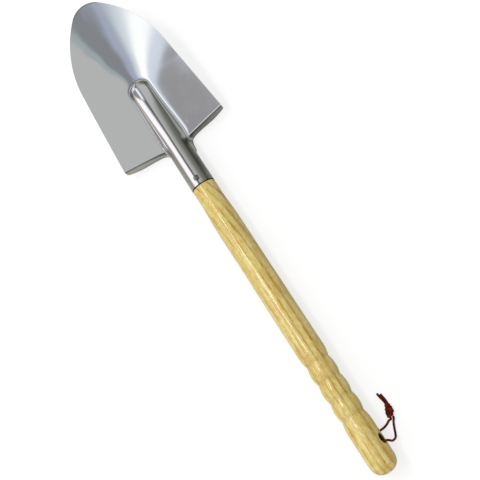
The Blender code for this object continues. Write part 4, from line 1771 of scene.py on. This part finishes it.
@dataclass(frozen=True)
class SocketNail:
    """The domed nail through the socket's front into the tenon."""

    y: float = 0.0080
    head_radius: float = 0.0033
    head_height: float = 0.0019
    shank_radius: float = 0.0016
    length: float = 0.0200
    point: float = 0.0040
    clearance: float = 0.0003
    socket_radius: float = 0.013657
    rim_round: float = 0.0004
    dome_steps: int = 14
    dome_powers: Pair = (0.85, 0.95)
    sides: int = 40
    seed: int = 1
    sharp_from: float = 40.0

    def _upright(
        self, turned: TurnedBody, name: str, pairs: Sequence[Pair], **values: Any
    ) -> bpy.types.Mesh:
        """Body turned about the nail's own line.

        Args:
            turned: The tree that turns round bodies.
            name: The mesh's name.
            pairs: (height over the head's underside, radius) pairs.
            values: Other inputs of the tree.

        Returns:
            The mesh in the world.
        """
        base = self.socket_radius + self.clearance
        points = [AXIS.point(0, self.y, base + height) for height, _ in pairs]
        return turned.make(name, points, [r for _, r in pairs], sides=self.sides, unevenness=0.0, **values)

    def hole(self, turned: TurnedBody) -> bpy.types.Mesh:
        """Cutter of the nail's hole.

        Args:
            turned: The tree that turns round bodies.

        Returns:
            The closed cutter in the world.
        """
        radius = self.shank_radius + self.clearance
        end = -self.length - 2 * self.clearance
        pairs = [(self.head_radius, 0.0), (self.head_radius, radius), (self.point - self.length, radius)]
        pairs += [(end, 2 * self.clearance), (end, 0.0)]
        return self._upright(turned, "nail_hole", pairs)

    def build(self, turned: TurnedBody, finish: bpy.types.Material) -> bpy.types.Object:
        """Build the nail.

        Args:
            turned: The tree that turns round bodies.
            finish: Its material.

        Returns:
            The piece.
        """
        pairs = [(self.head_height, 0.0)]
        for i in range(1, self.dome_steps + 1):
            angle = QUARTER * i / self.dome_steps
            rise, reach = (f(angle) ** power for f, power in zip((math.cos, math.sin), self.dome_powers))
            pairs.append((max(self.rim_round / 2, self.head_height * rise), self.head_radius * reach))
        pairs += [(0.0, self.head_radius - self.rim_round / 2), (0.0, self.shank_radius)]
        pairs += [(self.point - self.length, self.shank_radius), (-self.length, 0.0)]
        mesh = self._upright(turned, "nail", pairs, seed=self.seed, finish=finish)
        return settle(mesh, self.sharp_from, finish, "nail_steel", "round_nail", "socket_nail")


# Thong


class Side(Enum):
    """The two strands of the thong, by the mouth of the cross hole that each leaves."""

    RIGHT = 1
    LEFT = -1


@dataclass(frozen=True)
class LeatherThong:
    """The lace through the cross hole: two strands, and the knot with its tails."""

    lace: float = 0.0022
    gap: float = 0.0003
    route_step: float = 0.0008
    half_width: float = 0.00125
    half_thickness: float = 0.00090
    level_enough: float = 0.25
    squareness: float = 2.6
    wrap_half_lace: float = 0.00175
    right_mouth: tuple[Triple, ...] = (
        (0.0098, -0.3341, 0.0199),
        (0.0126, -0.3343, 0.0201),
        (0.0156, -0.3350, 0.0193),
        (0.0178, -0.3365, 0.0162),
        (0.0192, -0.3379, 0.0119),
        (0.0214, -0.3379, 0.0081),
        (0.0234, -0.3366, 0.0051),
        (0.0249, -0.3336, 0.0028),
        (0.0269, -0.3285, 0.0013),
        (0.0296, -0.3227, 0.0012),
    )
    left_mouth: tuple[Triple, ...] = (
        (-0.0107, -0.3303, 0.0122),
        (-0.0131, -0.3298, 0.0102),
        (-0.0137, -0.3292, 0.0072),
        (-0.0122, -0.3284, 0.0042),
        (-0.0093, -0.3271, 0.0020),
        (-0.0050, -0.3256, 0.0012),
        (0.0000, -0.3241, 0.0011),
        (0.0070, -0.3226, 0.0011),
        (0.0127, -0.3219, 0.0012),
        (0.0180, -0.3216, 0.0012),
        (0.0228, -0.3203, 0.0012),
        (0.0266, -0.3183, 0.0014),
    )
    knot_start: Pair = (0.0314, -0.3160)
    knot_end: Pair = (0.0345, -0.3020)
    knot_height: float = 0.0027
    strand_spread: float = 0.0015
    wrap_turns: float = 4.0
    wrap_half_width: float = 0.0038
    wrap_half_height: float = 0.0016
    wrap_slant: float = math.radians(20)
    wrap_run: float = 0.0134
    wrap_ends: Pair = (0.56, 0.34)
    wrap_bulge: float = 0.52
    wrap_skew: float = 0.65
    wrap_lean: float = 0.6
    turn_steps: int = 36
    knot_turn: float = 0.7
    strand_turn: float = 0.25
    core_steps: int = 8
    sides: int = 18
    sharp_from: float = 60.0
    tails: tuple[tuple[Triple, ...], ...] = (
        (
            (0.0337, -0.3040, 0.0024),
            (0.0334, -0.2990, 0.0016),
            (0.0322, -0.2930, 0.0012),
            (0.0316, -0.2882, 0.0012),
        ),
        (
            (0.0350, -0.3040, 0.0026),
            (0.0354, -0.2990, 0.0018),
            (0.0348, -0.2945, 0.0012),
            (0.0341, -0.2906, 0.0012),
        ),
    )

    def knot_axes(self) -> tuple[Vector, Vector, Vector]:
        """Start, end and direction of the knot's middle line in the world."""
        start, end = (AXIS.over_table(*place, self.knot_height) for place in (self.knot_start, self.knot_end))
        return start, end, (end - start).normalized()

    def mouth(self, side: Side) -> tuple[Triple, ...]:
        """Points of one strand outside the cross hole."""
        return self.right_mouth if side is Side.RIGHT else self.left_mouth

    def strand_route(self, side: Side) -> list[Vector]:
        """Route of one strand.

        Args:
            side: The strand.

        Returns:
            Points from the middle of the cross hole to the knot.
        """
        bore = [MARKS.in_hole(side.value * run) for run in (self.gap / 2, self.gap / 2 + self.lace)]
        start, _, ahead = self.knot_axes()
        across = ahead.cross(Vector((0, 0, 1)))
        low = Vector((0, 0, 1)) * (self.lace / 2 + self.gap / 3 - self.knot_height)
        end = start - ahead * self.gap + side.value * self.strand_spread * across + low
        points = bore + [AXIS.over_table(*p) for p in self.mouth(side)] + [end - ahead * self.lace, end]
        return smooth_route(points, self.route_step)

    def wrap_line(self) -> tuple[list[Vector], list[Vector]]:
        """The lace that winds round the knot.

        Returns:
            Its route, and the direction of its flat side at each point.
        """
        start, end, ahead = self.knot_axes()
        across = ahead.cross(Vector((0, 0, 1))).normalized()
        up = across.cross(ahead)
        middle = start.lerp(end, 0.5)
        count = round(self.wrap_turns * self.turn_steps)
        route, facings = [], []
        for i in range(count + 1):
            t = i / count
            angle = math.tau * self.wrap_turns * t
            bulge = lerp(*self.wrap_ends, t) + self.wrap_bulge * math.sin(math.pi * t**self.wrap_skew)
            aside = bulge * self.wrap_half_width * math.cos(angle)
            rise = bulge * self.wrap_half_height * math.sin(angle)
            run = (t - 0.5) * self.wrap_run + aside * math.tan(self.wrap_slant)
            route.append(middle + run * ahead + aside * across + rise * up)
            facings.append(math.cos(angle) * across * self.wrap_lean + math.sin(angle) * up)
        return route, facings

    def facings(self, route: Sequence[Vector], turn: float) -> list[Vector]:
        """Directions of a lace's flat side along its route.

        Args:
            route: The lace's middle line.
            turn: How far it turns from lying flat, in the middle of the route.

        Returns:
            A direction for each point.
        """
        result = []
        last = len(route) - 1
        side = Vector((0, 1, 0))
        for i in range(last + 1):
            ahead = (route[min(i + 1, last)] - route[max(i - 1, 0)]).normalized()
            level = ahead.cross(Vector((0, 0, 1)))
            side = level if level.length > self.level_enough else side - side.dot(ahead) * ahead
            side = side.normalized()
            flat = side.cross(ahead)
            angle = turn * math.sin(math.pi * i / last) ** 2
            result.append(math.cos(angle) * flat + math.sin(angle) * side)
        return result

    def lace_mesh(
        self, tree: LaceBody, name: str, line: tuple[Sequence[Vector], Sequence[Vector]], half_width: float
    ) -> bpy.types.Mesh:
        """Mesh of one stretch of lace.

        Args:
            tree: The tree that sweeps the lace's section.
            name: The mesh's name.
            line: The lace's middle line and its facings.
            half_width: Half the lace's width.

        Returns:
            The mesh.
        """
        route, facings = line
        section = {"half_width": half_width, "half_thickness": self.half_thickness}
        return tree.make(
            name, route, facings=facings, sides=self.sides, squareness=self.squareness, **section
        )

    def build(self, tree: LaceBody, finish: bpy.types.Material) -> None:
        """Args:
            tree: The tree that sweeps the lace's section.
            finish: The lace's material.
        """
        start, end, _ = self.knot_axes()
        lines = [[start.lerp(end, i / self.core_steps) for i in range(self.core_steps + 1)]]
        lines += [smooth_route([AXIS.over_table(*p) for p in tail], self.route_step) for tail in self.tails]
        parts = [self.lace_mesh(tree, "knot_wrap", self.wrap_line(), self.wrap_half_lace)]
        for line in lines:
            facings = self.facings(line, self.knot_turn)
            parts.append(self.lace_mesh(tree, "knot_part", (line, facings), self.half_width))
        look = (self.sharp_from, finish, "red_brown_leather")
        knot = settle(joined(parts, "lace_knot"), *look, "lace_knot", "thong_knot")
        for side in Side:
            route = self.strand_route(side)
            name = f"lace_{side.name.lower()}"
            line = (route, self.facings(route, self.strand_turn * side.value))
            mesh = self.lace_mesh(tree, name, line, self.half_width)
            strand = settle(mesh, *look, name, f"thong_strand_{side.name.lower()}")
            tuple(AXIS.over_table(*self.mouth(side)[0]))
            round(route_length(route), 4)


def main() -> None:
    """Build the scene."""
    logging.basicConfig(level=logging.INFO, format="%(message)s")
    view = bpy.context.scene.view_settings
    view.view_transform = "Standard"
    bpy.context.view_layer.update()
    PhotoCamera().make()
    turned = TurnedBody()
    LeatherThong().build(LaceBody(), RedBrownLeather().material())
    studio = Studio()
    studio.build()
    nail = SocketNail()
    steel = PolishedSteel().material()
    ash = LacqueredAsh().material()
    head = TrowelHead().build(steel, nail.hole(turned))
    AshHandle().build(turned, ash, nail.hole(turned))
    studio.key_lamp(head, nail.build(turned, NailSteel().material()))


if __name__ == "__main__":
    main()
